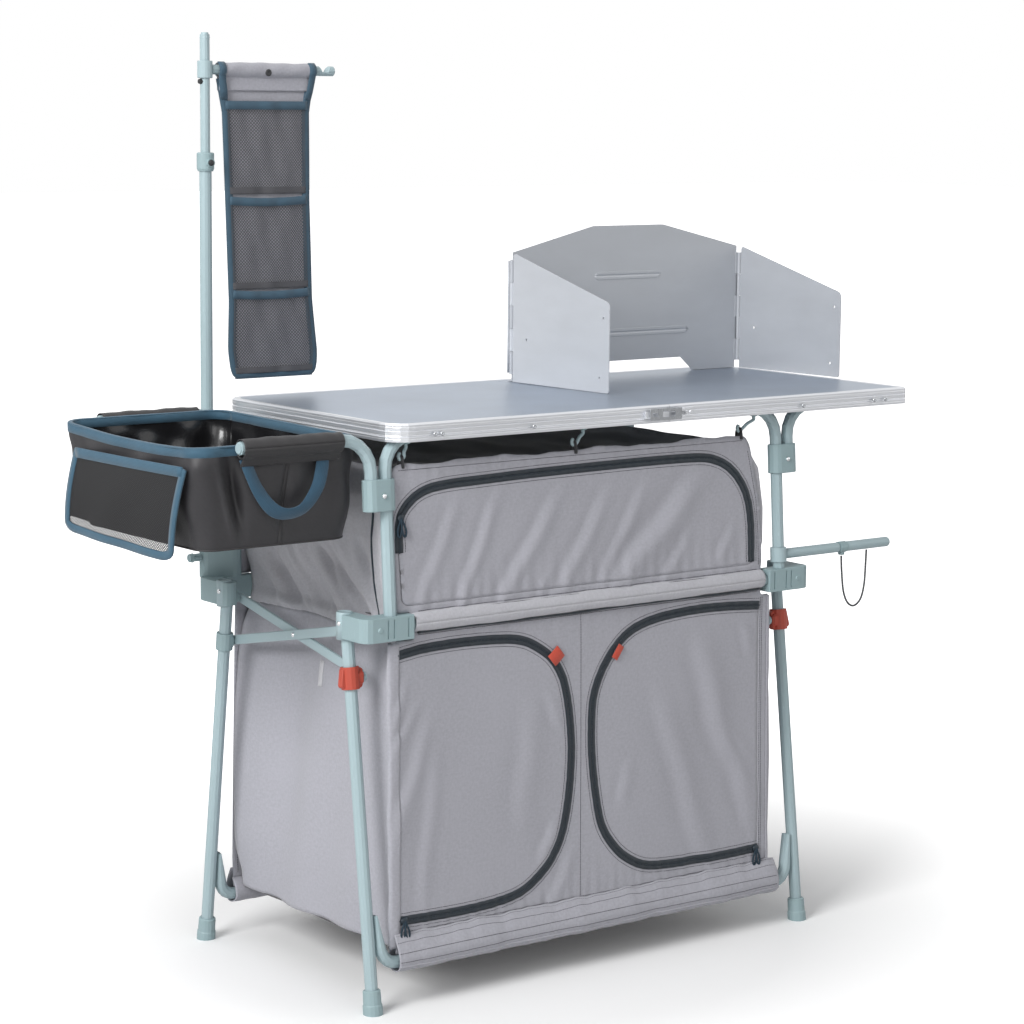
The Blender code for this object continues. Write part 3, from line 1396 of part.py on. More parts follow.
def basin(finish, carrier):
    """The soft tub that hangs by two sleeves on the left arms."""
    top = BASIN_TOP_Z
    low = BASIN_LOW_Z
    wide = BASIN_IN_X - BASIN_OUT_X
    levels = [(low, 0.010, 0.030, 0.018), (low + 0.05, 0.004, 0.010, 0.008), (low + 0.10, 0.001, 0.002, 0.002), (top, 0.0, 0.0, 0.0)]
    bm = bmesh.new()
    rings = []
    for z, inside, outside, ends in levels:
        x0, x1 = BASIN_OUT_X + outside, BASIN_OUT_X + wide - inside
        y = BASIN_Y - ends
        corners = [(x0, -y), (x1, -y), (x1, y), (x0, y)]
        loop = rounded(corners, [0.030] * 4, 4)
        lift = 0.0 if z < top else -0.006
        rings.append([bm.verts.new((u, v, z + (lift if v < 0 else 0.0))) for u, v in loop])
    for one, two in zip(rings, rings[1:]):
        for k in range(len(one)):
            bm.faces.new((one[k], one[(k + 1) % len(one)], two[(k + 1) % len(one)], two[k]))
    bm.faces.new(list(reversed(rings[0])))
    tub = bm_object("tub", bm)
    shell = tub.modifiers.new("cloth", "SOLIDIFY")
    shell.thickness = BASIN_CLOTH
    shell.offset = -1.0
    made = baked(tub)
    y = post_y(TOP_TUBE_Z)
    for sy in (-1, 1):
        pipe = sleeve("pipe", sy, y, TOP_TUBE_Z, -BASIN_ARM_X + 0.002, -0.4320)
        made = fuse(made, pipe)
    finished(made, "basin", finish["dark"], carrier)


def organiser(finish, carrier, pivot):
    """The hanging organiser: its side section, a loop over the arm and three pockets, drawn out."""
    half = ORGANISER_THICK / 2.0
    loop_r = HOOK_ARM_R + 0.0030
    first = -math.acos(half / loop_r)
    last = 2.0 * math.pi - math.acos(-half / loop_r)
    section = [(half, ORGANISER_LOW_Z)]
    for k in range(15):
        a = first + (last - first) * k / 14.0
        section.append((loop_r * math.cos(a), HOOK_ARM_Z + loop_r * math.sin(a)))
    room = (HOOK_ARM_Z - 0.040 - ORGANISER_LOW_Z) / 3.0
    for k in (2, 1, 0):
        low = ORGANISER_LOW_Z + room * k + 0.006
        high = low + room - 0.030
        section.append((-half, high))
        section.append((-half - 0.0050, high - 0.004))
        section.append((-half - 0.0062, low + 0.008))
        section.append((-half, low))
    section.append((-half, ORGANISER_LOW_Z))
    middle = ORGANISER_LEFT_X + ORGANISER_WIDE / 2.0
    hole = ring((0.0, HOOK_ARM_Z), HOOK_ARM_R + 0.0008, 16)
    place = facing("x", (middle, MAST_Y, 0.0))
    made = plate("organiser", section, ORGANISER_WIDE, [hole], place)
    finished(made, "organiser", finish["dark"], carrier, pivot)


def build():
    """Make every group, carried by the empties that stand on the joints."""
    clear_scene()
    finish = finish_table()

    base = empty("base", (0.0, 0.0, 0.0), ROOT)
    bars_b = empty("bars_b", (0.0, PIVOT_Y, PIVOT_Z), base)
    bars_a = empty("bars_a", (0.0, 0.0, CROSS_Z), bars_b)
    front = empty("front_frame", (0.0, -PIVOT_Y, PIVOT_Z), bars_a)
    clips = empty("front_clips", (0.0, -SLIDER_Y, SLIDER_Z), front)
    collars = empty("back_collars", (0.0, SLIDER_Y, SLIDER_Z), base)

    build_frame(1, finish, base)
    build_frame(-1, finish, front)
    for sx in (-1, 1):
        scissor_bar(sx, 1, BAR_B_IN, True, finish, bars_b)
        scissor_bar(sx, -1, BAR_A_IN, False, finish, bars_a)
        name = f"lock_clip_{side_name(sx)}"
        slider(sx, -1, name, CLIP_R, CLIP_TALL, BAR_B_OUT + 0.0005, finish["red"], clips, True)
        name = f"slide_collar_{side_name(sx)}"
        slider(sx, 1, name, CLIP_R - 0.0006, COLLAR_TALL, BAR_A_OUT + 0.0005, finish["plastic"], collars, False)
        rim(sx, finish, base)
        deck(sx, finish, base)

    latch_at = (SEAM_X + 0.022, -TABLE_DEEP / 2.0 - 0.0034, TABLE_TOP_Z - 0.012)
    latch_lever(finish, empty("latch", latch_at, base), latch_at)

    shield_back(finish, base)
    for sx in (-1, 1):
        hinge = shield_hinge(sx)
        hinge.z = SHIELD_BASE_Z
        shield_wing(sx, finish, empty(f"wing_{side_name(sx)}", hinge, base))

    screw_at = (MAST_X - CLAMP_R - 0.0006, MAST_Y, SCREW_Z)
    mast_screw(finish, empty("screw", screw_at, base), screw_at)
    mast_lower(finish, base)
    button_z = mast_collar(finish, base)
    button_at = (MAST_X, MAST_Y - 0.0165, button_z)
    button("mast_button", button_at, (0, -1, 0), 0.0043, 0.0026, 0.0030, finish["black"], empty("press_mast", button_at, base))
    slide = empty("mast_slide", (MAST_X, MAST_Y, MAST_SPLIT_Z), base)
    mast_upper(finish, slide)
    arm_at = (MAST_X - MAST_INNER_R, MAST_Y, arm_button_z())
    button("arm_button", arm_at, (-1, 0, 0), 0.0036, 0.0042, 0.0030, finish["black"], empty("press_arm", arm_at, slide))
    swivel_at = (MAST_X, MAST_Y, HOOK_ARM_Z)
    swivel = empty("hook_swivel", swivel_at, slide)
    hook_arm(finish, swivel, swivel_at)
    organiser(finish, empty("organiser_swing", swivel_at, swivel), swivel_at)

    towel_at = (POST_X, -post_y(TOWEL_Z + 0.001), TOWEL_Z + 0.001)
    swing = empty("towel_swing", towel_at, front)
    towel_arm(finish, swing, towel_at)
    towel_clip(finish, swing, towel_at)
    towel_loop(finish, swing, towel_at)

    cover_panel(-1, True, finish, front)
    cover_panel(1, False, finish, base)
    bellows(finish, base)
    door_specs = (
        ("door_upper", UPPER_DOOR, UPPER_DOOR_ROUND, high_plane(-1), UPPER_DOOR[0]),
        ("door_lower_left", LEFT_DOOR, LEFT_DOOR_ROUND, low_plane(-1), LEFT_DOOR[0]),
        ("door_lower_right", RIGHT_DOOR, RIGHT_DOOR_ROUND, low_plane(-1), RIGHT_DOOR[0]),
    )
    for name, outline, radii, plane, corner in door_specs:
        pivot = plane @ Vector((corner[0], corner[1], 0.0))
        door(name, outline, radii, plane, pivot, finish, empty(name + "_hinge", pivot, front))

    basin_at = (-POST_X - ARM_PITCH, 0.0, TOP_TUBE_Z)
    basin(finish, empty("basin_slide", basin_at, base))

    for thing in CUTTERS.objects:
        thing.hide_render = True
        thing.display_type = "WIRE"


build()
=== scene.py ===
import json
import math

import bpy
import numpy as np
from mathutils import Matrix, Vector, geometry

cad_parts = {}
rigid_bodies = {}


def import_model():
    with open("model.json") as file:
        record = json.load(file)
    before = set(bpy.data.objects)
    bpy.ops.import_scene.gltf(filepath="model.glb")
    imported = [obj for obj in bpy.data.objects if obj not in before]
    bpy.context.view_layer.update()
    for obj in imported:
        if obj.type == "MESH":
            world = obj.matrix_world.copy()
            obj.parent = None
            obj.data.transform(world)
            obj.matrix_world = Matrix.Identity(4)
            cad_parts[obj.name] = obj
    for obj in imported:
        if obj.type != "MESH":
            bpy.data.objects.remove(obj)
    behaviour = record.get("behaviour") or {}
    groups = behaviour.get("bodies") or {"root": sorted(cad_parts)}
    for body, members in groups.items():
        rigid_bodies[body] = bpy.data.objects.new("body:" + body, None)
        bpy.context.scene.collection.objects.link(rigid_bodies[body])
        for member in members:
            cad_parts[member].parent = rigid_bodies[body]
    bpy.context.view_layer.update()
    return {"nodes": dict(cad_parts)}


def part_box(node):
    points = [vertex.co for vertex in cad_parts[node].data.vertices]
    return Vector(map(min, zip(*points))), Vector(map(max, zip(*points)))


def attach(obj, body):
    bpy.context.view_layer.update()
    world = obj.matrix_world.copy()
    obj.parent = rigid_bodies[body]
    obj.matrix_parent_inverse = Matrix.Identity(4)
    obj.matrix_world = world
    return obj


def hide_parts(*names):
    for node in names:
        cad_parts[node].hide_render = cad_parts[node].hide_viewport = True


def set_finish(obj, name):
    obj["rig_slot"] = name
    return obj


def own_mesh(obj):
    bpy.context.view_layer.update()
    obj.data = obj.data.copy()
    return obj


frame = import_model()
scene = bpy.context.scene

# The view: the cupboard is seen from its front left, a little above the table top.
# The camera's place and lens were fitted to the photograph's frame of 1024 by 1024 points.
frame_points, focal_points, sensor_wide = 1024.0, 2850.7, 36.0
eye = (-2.5476, -3.3711, 1.2582)
yaw, pitch, roll = (math.radians(a) for a in (37.359, 8.224, 0.530))
ahead = Vector((math.sin(yaw) * math.cos(pitch), math.cos(yaw) * math.cos(pitch), -math.sin(pitch)))
across = Vector((math.cos(yaw), -math.sin(yaw), 0.0))
upward = across.cross(ahead)
lens = bpy.data.cameras.new("photo_view")
lens.sensor_width = sensor_wide
lens.lens = focal_points / frame_points * sensor_wide
lens.clip_end = 60.0
camera = bpy.data.objects.new("photo_view", lens)
scene.collection.objects.link(camera)
turned = Matrix((
    across * math.cos(roll) + upward * math.sin(roll),
    upward * math.cos(roll) - across * math.sin(roll),
    -ahead,
)).transposed()
camera.matrix_world = Matrix.Translation(eye) @ turned.to_4x4()
scene.camera = camera
scene.view_settings.view_transform = "Standard"


# The light and the ground: a plain studio, one broad lamp from the left, weaker ones from the front,
# the right and above, and an even sky. The ground is pale, keeps the shadow, and fades to white far off.
def srgb(red, green, blue):
    """A colour given as seen, 0 to 255, as the linear light that the shader takes."""
    seen = np.array([red, green, blue]) / 255.0
    linear = np.where(seen <= 0.04045, seen / 12.92, ((seen + 0.055) / 1.055) ** 2.4)
    return (*[float(c) for c in linear], 1.0)


def fill(tree, made, sockets):
    """Fills a node's sockets: each takes a value, or a link from another node's output."""
    for key, value in sockets.items():
        if isinstance(value, bpy.types.NodeSocket):
            tree.links.new(value, made.inputs[key])
        else:
            made.inputs[key].default_value = value


def node(tree, kind, sockets=None, **settings):
    """Adds a shader node with its settings and sockets, and gives its outputs."""
    made = tree.nodes.new("ShaderNode" + kind)
    for key, value in settings.items():
        setattr(made, key, value)
    fill(tree, made, sockets or {})
    return made.outputs


def started(name, slot):
    """A new material for a slot, with its node tree and its shader."""
    material = bpy.data.materials.new(name)
    material.use_nodes = True
    material["slot"] = slot
    return material, material.node_tree, material.node_tree.nodes["Principled BSDF"]


def noise(tree, place, scale, detail, rough=0.5):
    """Noise read at a place, between 0 and 1."""
    return node(tree, "TexNoise", {"Vector": place, "Scale": scale, "Detail": detail, "Roughness": rough})["Fac"]


def both(tree, how, one, two):
    """Two numbers joined by a sum, a product or the like."""
    return node(tree, "Math", {0: one, 1: two}, operation=how)[0]


def ranged(tree, value, low, high, first=0.0, last=1.0, **settings):
    """A number between low and high, drawn out to lie between first and last."""
    sockets = {"Value": value, "From Min": low, "From Max": high, "To Min": first, "To Max": last}
    return node(tree, "MapRange", sockets, **settings)[0]


def mixed(tree, share, one, two):
    """Two colours mixed: share is how much of the second."""
    return node(tree, "MixRGB", {"Fac": share, "Color1": one, "Color2": two})[0]


def lamp(name, place, size, power, aim=(0.0, 0.0, 0.5)):
    """A square soft lamp at a place, turned to face a point."""
    data = bpy.data.lights.new(name, "AREA")
    data.size = size
    data.energy = power
    made = bpy.data.objects.new(name, data)
    facing = (Vector(aim) - Vector(place)).to_track_quat("-Z", "Y").to_matrix().to_4x4()
    made.matrix_world = Matrix.Translation(place) @ facing
    scene.collection.objects.link(made)


lamp("key_lamp", (-3.8, -1.2, 2.8), 2.0, 172.0)
lamp("front_lamp", (-1.0, -4.2, 2.2), 2.4, 20.0)
lamp("right_lamp", (3.4, -1.8, 1.8), 2.4, 12.0)
lamp("top_lamp", (-0.6, 0.6, 4.0), 2.4, 26.0, (0.0, 0.0, 0.6))

white = (1.0, 1.0, 1.0, 1.0)
world = bpy.data.worlds.new("studio")
scene.world = world
world.use_nodes = True
sky = world.node_tree
rays = node(sky, "LightPath")
dim = sky.nodes["Background"]
fill(sky, dim, {"Color": white, "Strength": 0.31})
seen_white = both(sky, "MAXIMUM", rays["Is Camera Ray"], rays["Is Glossy Ray"])
bright = node(sky, "Background", {"Color": white, "Strength": 1.0})[0]
chosen = node(sky, "MixShader", {0: seen_white, 1: dim.outputs[0], 2: bright})[0]
fill(sky, sky.nodes["World Output"], {"Surface": chosen})

ground_mesh = bpy.data.meshes.new("ground")
ground_mesh.from_pydata([(-30, -30, 0), (30, -30, 0), (30, 30, 0), (-30, 30, 0)], [], [(0, 1, 2, 3)])
ground = bpy.data.objects.new("ground", ground_mesh)
scene.collection.objects.link(ground)
ground_finish, tree, shader = started("studio_ground", "ground")
place = node(tree, "TexCoord")["Object"]
watched = node(tree, "LightPath")["Is Camera Ray"]
pale = mixed(tree, noise(tree, place, 3.0, 3.0), srgb(222, 222, 223), srgb(228, 228, 228))
far_off = node(tree, "VectorMath", {0: place}, operation="LENGTH")["Value"]
fade = ranged(tree, far_off, 0.45, 1.5, 0.03, 1.0)
fill(tree, shader, {
    "Base Color": mixed(tree, watched, pale, srgb(253, 253, 253)), "Roughness": 0.9,
    "Emission Color": white, "Emission Strength": both(tree, "MULTIPLY", fade, watched),
})
ground.data.materials.append(ground_finish)


# The towel loop: an elastic cord, braided over rubber, hung by both ends from the arm on the right
# front post: one end from the sliding clip's tab, the other from the arm itself.
right, rear, up = np.eye(3)


def put(x, y, z):
    """Points from three coordinates, each a number or an array."""
    return np.stack(np.broadcast_arrays(x, y, z), axis=-1)


def unit(vectors):
    """Vectors scaled to a length of one."""
    return vectors / np.maximum(np.linalg.norm(vectors, axis=-1, keepdims=True), 1e-12)


def lengths(line):
    """How far along a line each of its points lies."""
    return np.concatenate([[0.0], np.cumsum(np.linalg.norm(np.diff(line, axis=0), axis=1))])


def smooth(knots, steps):
    """A line through knots: each span is the cubic whose end slopes are half the neighbours' chords."""
    knot = np.asarray(knots, dtype=float)
    knot = np.vstack([2 * knot[0] - knot[1], knot, 2 * knot[-1] - knot[-2]])
    t = np.linspace(0.0, 1.0, steps, endpoint=False)[None, :, None]
    p, q, r, s = (knot[k:len(knot) - 3 + k, None] for k in range(4))
    spans = 0.5 * (2 * q + (r - p) * t + (2 * p - 5 * q + 4 * r - s) * t ** 2 + (3 * q - p - 3 * r + s) * t ** 3)
    return np.vstack([spans.reshape(-1, knot.shape[1]), knot[-2:-1]])


def piece(name, points, tables, body, finish, uv=None):
    """One mesh from whole arrays: points (n, 3) and tables of faces, each (m, corners)."""
    mesh = bpy.data.meshes.new(name)
    points = np.ascontiguousarray(points, dtype=np.float32).reshape(-1, 3)
    tables = [np.asarray(table, dtype=np.int32) for table in tables if len(table)]
    corners = np.concatenate([table.ravel() for table in tables])
    sizes = np.concatenate([np.full(len(table), table.shape[1]) for table in tables])
    mesh.vertices.add(len(points))
    mesh.vertices.foreach_set("co", points.ravel())
    mesh.loops.add(len(corners))
    mesh.loops.foreach_set("vertex_index", corners)
    mesh.polygons.add(len(sizes))
    mesh.polygons.foreach_set("loop_start", np.concatenate([[0], np.cumsum(sizes)[:-1]]).astype(np.int32))
    if uv is not None:
        layer = mesh.uv_layers.new(name="cut")
        layer.data.foreach_set("uv", np.asarray(uv, dtype=np.float32).reshape(-1, 2)[corners].ravel())
    mesh.polygons.foreach_set("use_smooth", np.full(len(sizes), True))
    mesh.update(calc_edges=True)
    mesh.validate()
    made = bpy.data.objects.new(name, mesh)
    scene.collection.objects.link(made)
    mesh.materials.append(finish)
    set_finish(made, finish["slot"])
    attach(made, body)
    return made


def oval(wide, high, count=12):
    """An oval section, counterclockwise."""
    a = np.linspace(0.0, 2.0 * np.pi, count, endpoint=False)
    return np.stack([np.cos(a) * wide / 2.0, np.sin(a) * high / 2.0], axis=1)


def carried(path, section, lift, scale=None):
    """Points of a section carried along a path, its second axis held towards lift."""
    path = np.asarray(path, dtype=float)
    forward = unit(np.gradient(path, axis=0))
    side = unit(np.cross(forward, np.broadcast_to(np.asarray(lift, dtype=float), path.shape)))
    rise = np.cross(side, forward)
    grow = np.ones(len(path)) if scale is None else np.asarray(scale)
    local = np.asarray(section)[None] * grow[:, None, None]
    return path[:, None] + side[:, None] * local[..., :1] + rise[:, None] * local[..., 1:]


def ring_faces(rows, columns):
    """Quads between rows of points that each close round, faced outward for a section carried along a path."""
    i, j = np.meshgrid(np.arange(rows - 1), np.arange(columns), indexing="ij")
    k = (j + 1) % columns
    table = [i * columns + j, (i + 1) * columns + j, (i + 1) * columns + k, i * columns + k]
    return np.stack(table, -1).reshape(-1, 4)


def swept(name, path, section, lift, body, finish, scale=None, slack=0.0):
    """A closed bar: a section carried along a path, with both ends filled. Its UV is metres round and along."""
    points = carried(path, section, lift, scale) + slack
    rows, columns = points.shape[:2]
    caps = [np.arange(columns)[None], ((rows - 1) * columns + np.arange(columns))[::-1][None]]
    girth = np.linalg.norm(section - np.roll(section, 1, axis=0), axis=1).sum()
    uv = np.stack(np.broadcast_arrays(np.arange(columns)[None] / columns * girth, lengths(path)[:, None]), axis=-1)
    return piece(name, points, [ring_faces(rows, columns)] + caps, body, finish, uv)


def shade(colour, share, more=0.0):
    """A colour times a share, plus a little white, no channel past one."""
    return (*[min(c * share + more, 1.0) for c in colour[:3]], 1.0)


def waves(tree, place, pitch, wander, more=None, **settings):
    """Bands a pitch apart that wander a little, between 0 and 1."""
    sockets = {"Vector": place, "Scale": 0.314 / pitch, "Distortion": wander, **(more or {})}
    return node(tree, "TexWave", sockets, **settings)["Fac"]


def relief(tree, height, strength, depth, sockets=None):
    """The normal of a surface raised by a height."""
    return node(tree, "Bump", {"Strength": strength, "Distance": depth, "Height": height, **(sockets or {})})[0]


def braided(name, colour, pitch, slot):
    """Cord cover: crossed diagonal waves along and round the cord make the yarns' height and tone."""
    material, tree, shader = started(name, slot)
    place = node(tree, "UVMap")[0]
    left, right = (
        waves(tree, node(tree, "Mapping", {"Vector": place, "Rotation": (0.0, 0.0, math.radians(turn))})[0], pitch, 0.4)
        for turn in (35.0, -35.0)
    )
    yarn = both(tree, "MAXIMUM", left, right)
    fill(tree, shader, {
        "Base Color": mixed(tree, yarn, shade(colour, 0.45), colour),
        "Normal": relief(tree, yarn, 0.6, pitch * 0.3), "Roughness": 0.85,
    })
    return material


# The solids lie this far east of the lines drawn here, which are centred on the cupboard
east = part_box("table_rim_left")[0][0] + 0.366
arm_front, arm_level, clip_x = -0.203574, 0.576, 0.4935
tab_foot, arm_foot, cord_thick = 0.5617, 0.5670, 0.0032
loop_knots = np.array([
    (0.4935, 0.0, tab_foot), (0.4953, 0.0, tab_foot - 0.024), (0.4995, 0.0005, 0.5060), (0.5085, 0.0010, 0.4870),
    (0.5225, 0.0010, 0.4805), (0.5365, 0.0010, 0.4900), (0.5440, 0.0005, 0.5120), (0.5466, 0.0, arm_foot - 0.024),
    (0.5475, 0.0, arm_foot),
])
loop_path = smooth(put(loop_knots[:, 0] + east, arm_front - loop_knots[:, 1], loop_knots[:, 2]), 5)
cord_cover = braided("grey_cord_cover", srgb(92, 94, 97), 0.0011, "elastic_cord")
towel_cord = swept("towel_loop_cord", loop_path, oval(cord_thick, cord_thick), -rear, "towel_arm", cord_cover)
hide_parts("towel_loop")


# The frame: thin steel tube, bent, drilled and coated in pale teal enamel, with the brackets,
# clamps, collars and feet moulded in the same colour with a duller skin.
def coated(name, colour, rough, grain, depth, mottle, slot, scuffs=0.0):
    """Enamel or moulded plastic: broad noise moves the tone, fine noise the gloss and height, thin streaks scuff it."""
    material, tree, shader = started(name, slot)
    place = node(tree, "TexCoord")["Object"]
    broad = noise(tree, place, 9.0, 5.0, 0.6)
    tone = mixed(tree, broad, shade(colour, 1.0 - mottle), shade(colour, 1.0 + mottle))
    long_way = node(tree, "Mapping", {"Vector": place, "Scale": (60.0, 60.0, 8.0)})[0]
    worn = ranged(tree, noise(tree, long_way, 9.0, 6.0), 0.66, 0.74, 0.0, scuffs)
    fill(tree, shader, {
        "Base Color": mixed(tree, worn, tone, shade(colour, 1.5, 0.05)),
        "Roughness": ranged(tree, broad, 0.0, 1.0, rough - 0.07, rough + 0.09),
        "Normal": relief(tree, noise(tree, place, grain, 3.0), 0.5, depth),
    })
    return material


def dress(finish, *names):
    """Gives CAD nodes whose names start with one of names this finish."""
    for name, thing in frame["nodes"].items():
        if name.startswith(names):
            for place in thing.material_slots:
                place.material = finish


enamel = coated("teal_enamel", srgb(163, 183, 188), 0.36, 420.0, 0.00010, 0.05, "painted_tube", 0.35)
moulded = coated("teal_moulding", srgb(148, 170, 174), 0.52, 1500.0, 0.00012, 0.04, "teal_plastic", 0.15)
black_moulding = coated("black_moulding", srgb(44, 45, 47), 0.48, 1500.0, 0.00012, 0.08, "black_plastic")
red_moulding = coated("red_moulding", srgb(180, 74, 57), 0.5, 1300.0, 0.00012, 0.06, "red_plastic", 0.1)
dress(
    enamel, "leg_", "bottom_rail_", "mid_rail_", "upper_frame_", "basin_arm_", "table_arm_",
    "mast_lower", "mast_upper", "hook_arm", "towel_arm", "scissor_",
)
dress(moulded, "bracket_", "twin_clamp_", "slide_collar", "foot_", "mast_collar", "towel_clip", "mast_screw")
dress(black_moulding, "mast_button", "arm_button")
dress(red_moulding, "lock_clip_")

# The towel arm's outer tube: painted steel drawn over the arm on each side of the sliding clip, with
# its open ends turned in.
arm_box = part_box("towel_arm")
clip_middle, clip_half = clip_x + east, 0.0076
inset, rim = np.array([0.0, 0.0006, 0.0020, 0.0045]), np.array([0.74, 0.90, 0.985, 1.0])
for name, start, stop in (
    ("inner", arm_box[0][0] + 0.0235, clip_middle - clip_half),
    ("outer", clip_middle + clip_half, arm_box[1][0] + 0.0022),
):
    path = put(np.concatenate([start + inset, stop - inset[::-1]]), arm_front, arm_level)
    full = np.concatenate([rim, rim[::-1]])
    swept(f"towel_sleeve_{name}", path, oval(0.0156, 0.0156, 20), up, "towel_arm", enamel, full)


# Rivets and leg heads: bright domed steel rivets close the brackets, clamps and bars on the tubes.
# Each leg's enamelled end stands a little above its bracket.
def metal(name, colour, rough, along, grain, depth, slot, mottle=0.08, shine=1.0):
    """Bare metal: noise drawn out along one direction gives the rolling or brushing marks."""
    material, tree, shader = started(name, slot)
    place = node(tree, "TexCoord")["Object"]
    marks = noise(tree, node(tree, "Mapping", {"Vector": place, "Scale": along})[0], grain, 5.0, 0.65)
    cloud = both(tree, "MULTIPLY", marks, noise(tree, place, 4.0, 3.0))
    ends = shade(colour, 1.0 - 2.0 * mottle), shade(colour, 1.0 + 2.0 * mottle)
    fill(tree, shader, {
        "Base Color": mixed(tree, ranged(tree, cloud, 0.12, 0.40), *ends),
        "Roughness": ranged(tree, marks, 0.0, 1.0, rough - 0.10, rough + 0.12),
        "Normal": relief(tree, marks, 0.4, depth), "Metallic": shine,
    })
    return material


def turned_shape(profile, around=12):
    """A shape turned about the third axis from rows of (radius, height), closed at both ends by a face."""
    a = np.linspace(0.0, 2.0 * np.pi, around, endpoint=False)
    r, z = np.asarray(profile).T[..., None]
    ends = [np.arange(around)[::-1][None], ((len(profile) - 1) * around + np.arange(around))[None]]
    return put(r * np.cos(a), r * np.sin(a), z).reshape(-1, 3), [ring_faces(len(profile), around)[:, ::-1]] + ends


def strewn(name, shape, places, first, third, body, finish):
    """Copies of a shape at places: its first and third axes lie along the given directions."""
    points, tables = shape
    places = np.atleast_2d(np.asarray(places, dtype=float))
    x = unit(np.broadcast_to(np.asarray(first, dtype=float), places.shape))
    y = unit(np.cross(np.broadcast_to(np.asarray(third, dtype=float), places.shape), x))
    axes = np.stack([x, y, np.cross(x, y)], axis=1)
    spread = places[:, None] + np.einsum("pk,nkc->npc", points, axes)
    shift = np.arange(len(places))[:, None, None] * len(points)
    moved = [(table[None] + shift).reshape(-1, table.shape[1]) for table in tables]
    return piece(name, spread.reshape(-1, 3), moved, body, finish)


rivet_metal = metal("rivet_steel", srgb(228, 231, 233), 0.24, (1.0, 1.0, 1.0), 900.0, 0.00004, "painted_tube")
rivet_head = turned_shape([(0.0036, -0.0012), (0.0037, 0.0006), (0.0031, 0.0016), (0.0018, 0.0022), (0.0004, 0.0024)])
leg_head = turned_shape([
    (0.0114, 0.0), (0.0114, 0.0372), (0.0108, 0.0384), (0.0092, 0.0388), (0.0090, 0.0376), (0.0030, 0.0376),
], 28)
leg_x, leg_y, crossing_x = 0.4046, 0.1572, 0.3867
ends, hands = (("front", -1.0), ("back", 1.0)), (("left", -1.0), ("right", 1.0))
for end, way in ends:
    for hand, out in hands:
        low, high = (np.array(corner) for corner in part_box(f"twin_clamp_{end}_{hand}"))
        middle = (low + high) / 2.0
        spot = (middle[0], (low[1] if way < 0 else high[1]) - way * 0.0001, middle[2])
        strewn(f"clamp_rivet_{end}_{hand}", rivet_head, spot, right, way * rear, f"{end}_frame", rivet_metal)
for hand, out in hands:
    spot = (out * crossing_x + east, 0.0, 0.4993)
    strewn(f"crossing_rivet_{hand}", rivet_head, spot, rear, out * right, "scissor_a", rivet_metal)
    for end, way in ends:
        body = f"{end}_frame"
        place = (out * leg_x + east, way * leg_y, 0.5202)
        strewn(f"leg_head_{body}_{hand}", leg_head, place, right, up, body, enamel)
        spot = (out * leg_x + out * 0.0108 + east, way * leg_y - 0.0030, 0.5430)
        strewn(f"leg_rivet_{body}_{hand}", rivet_head, spot, up, (out, -0.25, 0.0), body, rivet_metal)


# The table: two boards faced with embossed aluminium sheet, each held on three sides by a drawn
# aluminium rim that is screwed to it, and a steel latch across the seam on the front edge.
def pressed(finish, height, strength, depth):
    """Lays a second relief over a finish's own."""
    tree = finish.node_tree
    below = {"Normal": tree.nodes["Bump"].outputs[0]}
    fill(tree, tree.nodes["Principled BSDF"], {"Normal": relief(tree, height, strength, depth, below)})


rim_metal = metal(
    "rim_aluminium", srgb(224, 226, 230), 0.34, (0.6, 0.6, 30.0), 40.0, 0.00005, "rim_aluminium", 0.03, 0.85,
)
tree = rim_metal.node_tree
height = node(tree, "SeparateXYZ", {0: node(tree, "TexCoord")["Object"]})["Z"]
grooves = 1.0
for level in (0.7992, 0.8042, 0.8158):
    away = node(tree, "Math", {0: both(tree, "SUBTRACT", height, level)}, operation="ABSOLUTE")[0]
    groove = ranged(tree, away, 0.0, 0.0006, interpolation_type="SMOOTHSTEP")
    grooves = both(tree, "MULTIPLY", grooves, groove)
pressed(rim_metal, grooves, 0.6, 0.0004)
dress(rim_metal, "table_rim_")

deck_metal = metal(
    "deck_sheet", srgb(150, 161, 176), 0.34, (3.0, 30.0, 30.0), 34.0, 0.00008, "deck_board", 0.10, 0.75,
)
tree = deck_metal.node_tree
dimples = {"Vector": node(tree, "TexCoord")["Object"], "Scale": 520.0, "Randomness": 1.0}
pressed(deck_metal, node(tree, "TexVoronoi", dimples, feature="SMOOTH_F1")["Distance"], 0.55, 0.0004)
dress(deck_metal, "table_deck_")

latch_metal = metal("latch_steel", srgb(186, 189, 193), 0.26, (20.0, 20.0, 2.0), 80.0, 0.00005, "rim_aluminium")
dress(latch_metal, "latch_lever")
rim_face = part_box("table_rim_left")[0][1]
screw_x = np.array([-0.3003, -0.2885, -0.1289, 0.386, 0.5354, 0.5592])
screw_head = turned_shape([
    (0.0034, -0.0006), (0.0034, 0.0005), (0.0027, 0.0012), (0.0012, 0.0013), (0.0008, 0.0004),
], 14)
for end, way in ends:
    spots = put(screw_x + east, -way * (rim_face + 0.0001), 0.8046)
    strewn(f"rim_screws_{end}", screw_head, spots, right, way * rear, "back_frame", latch_metal)


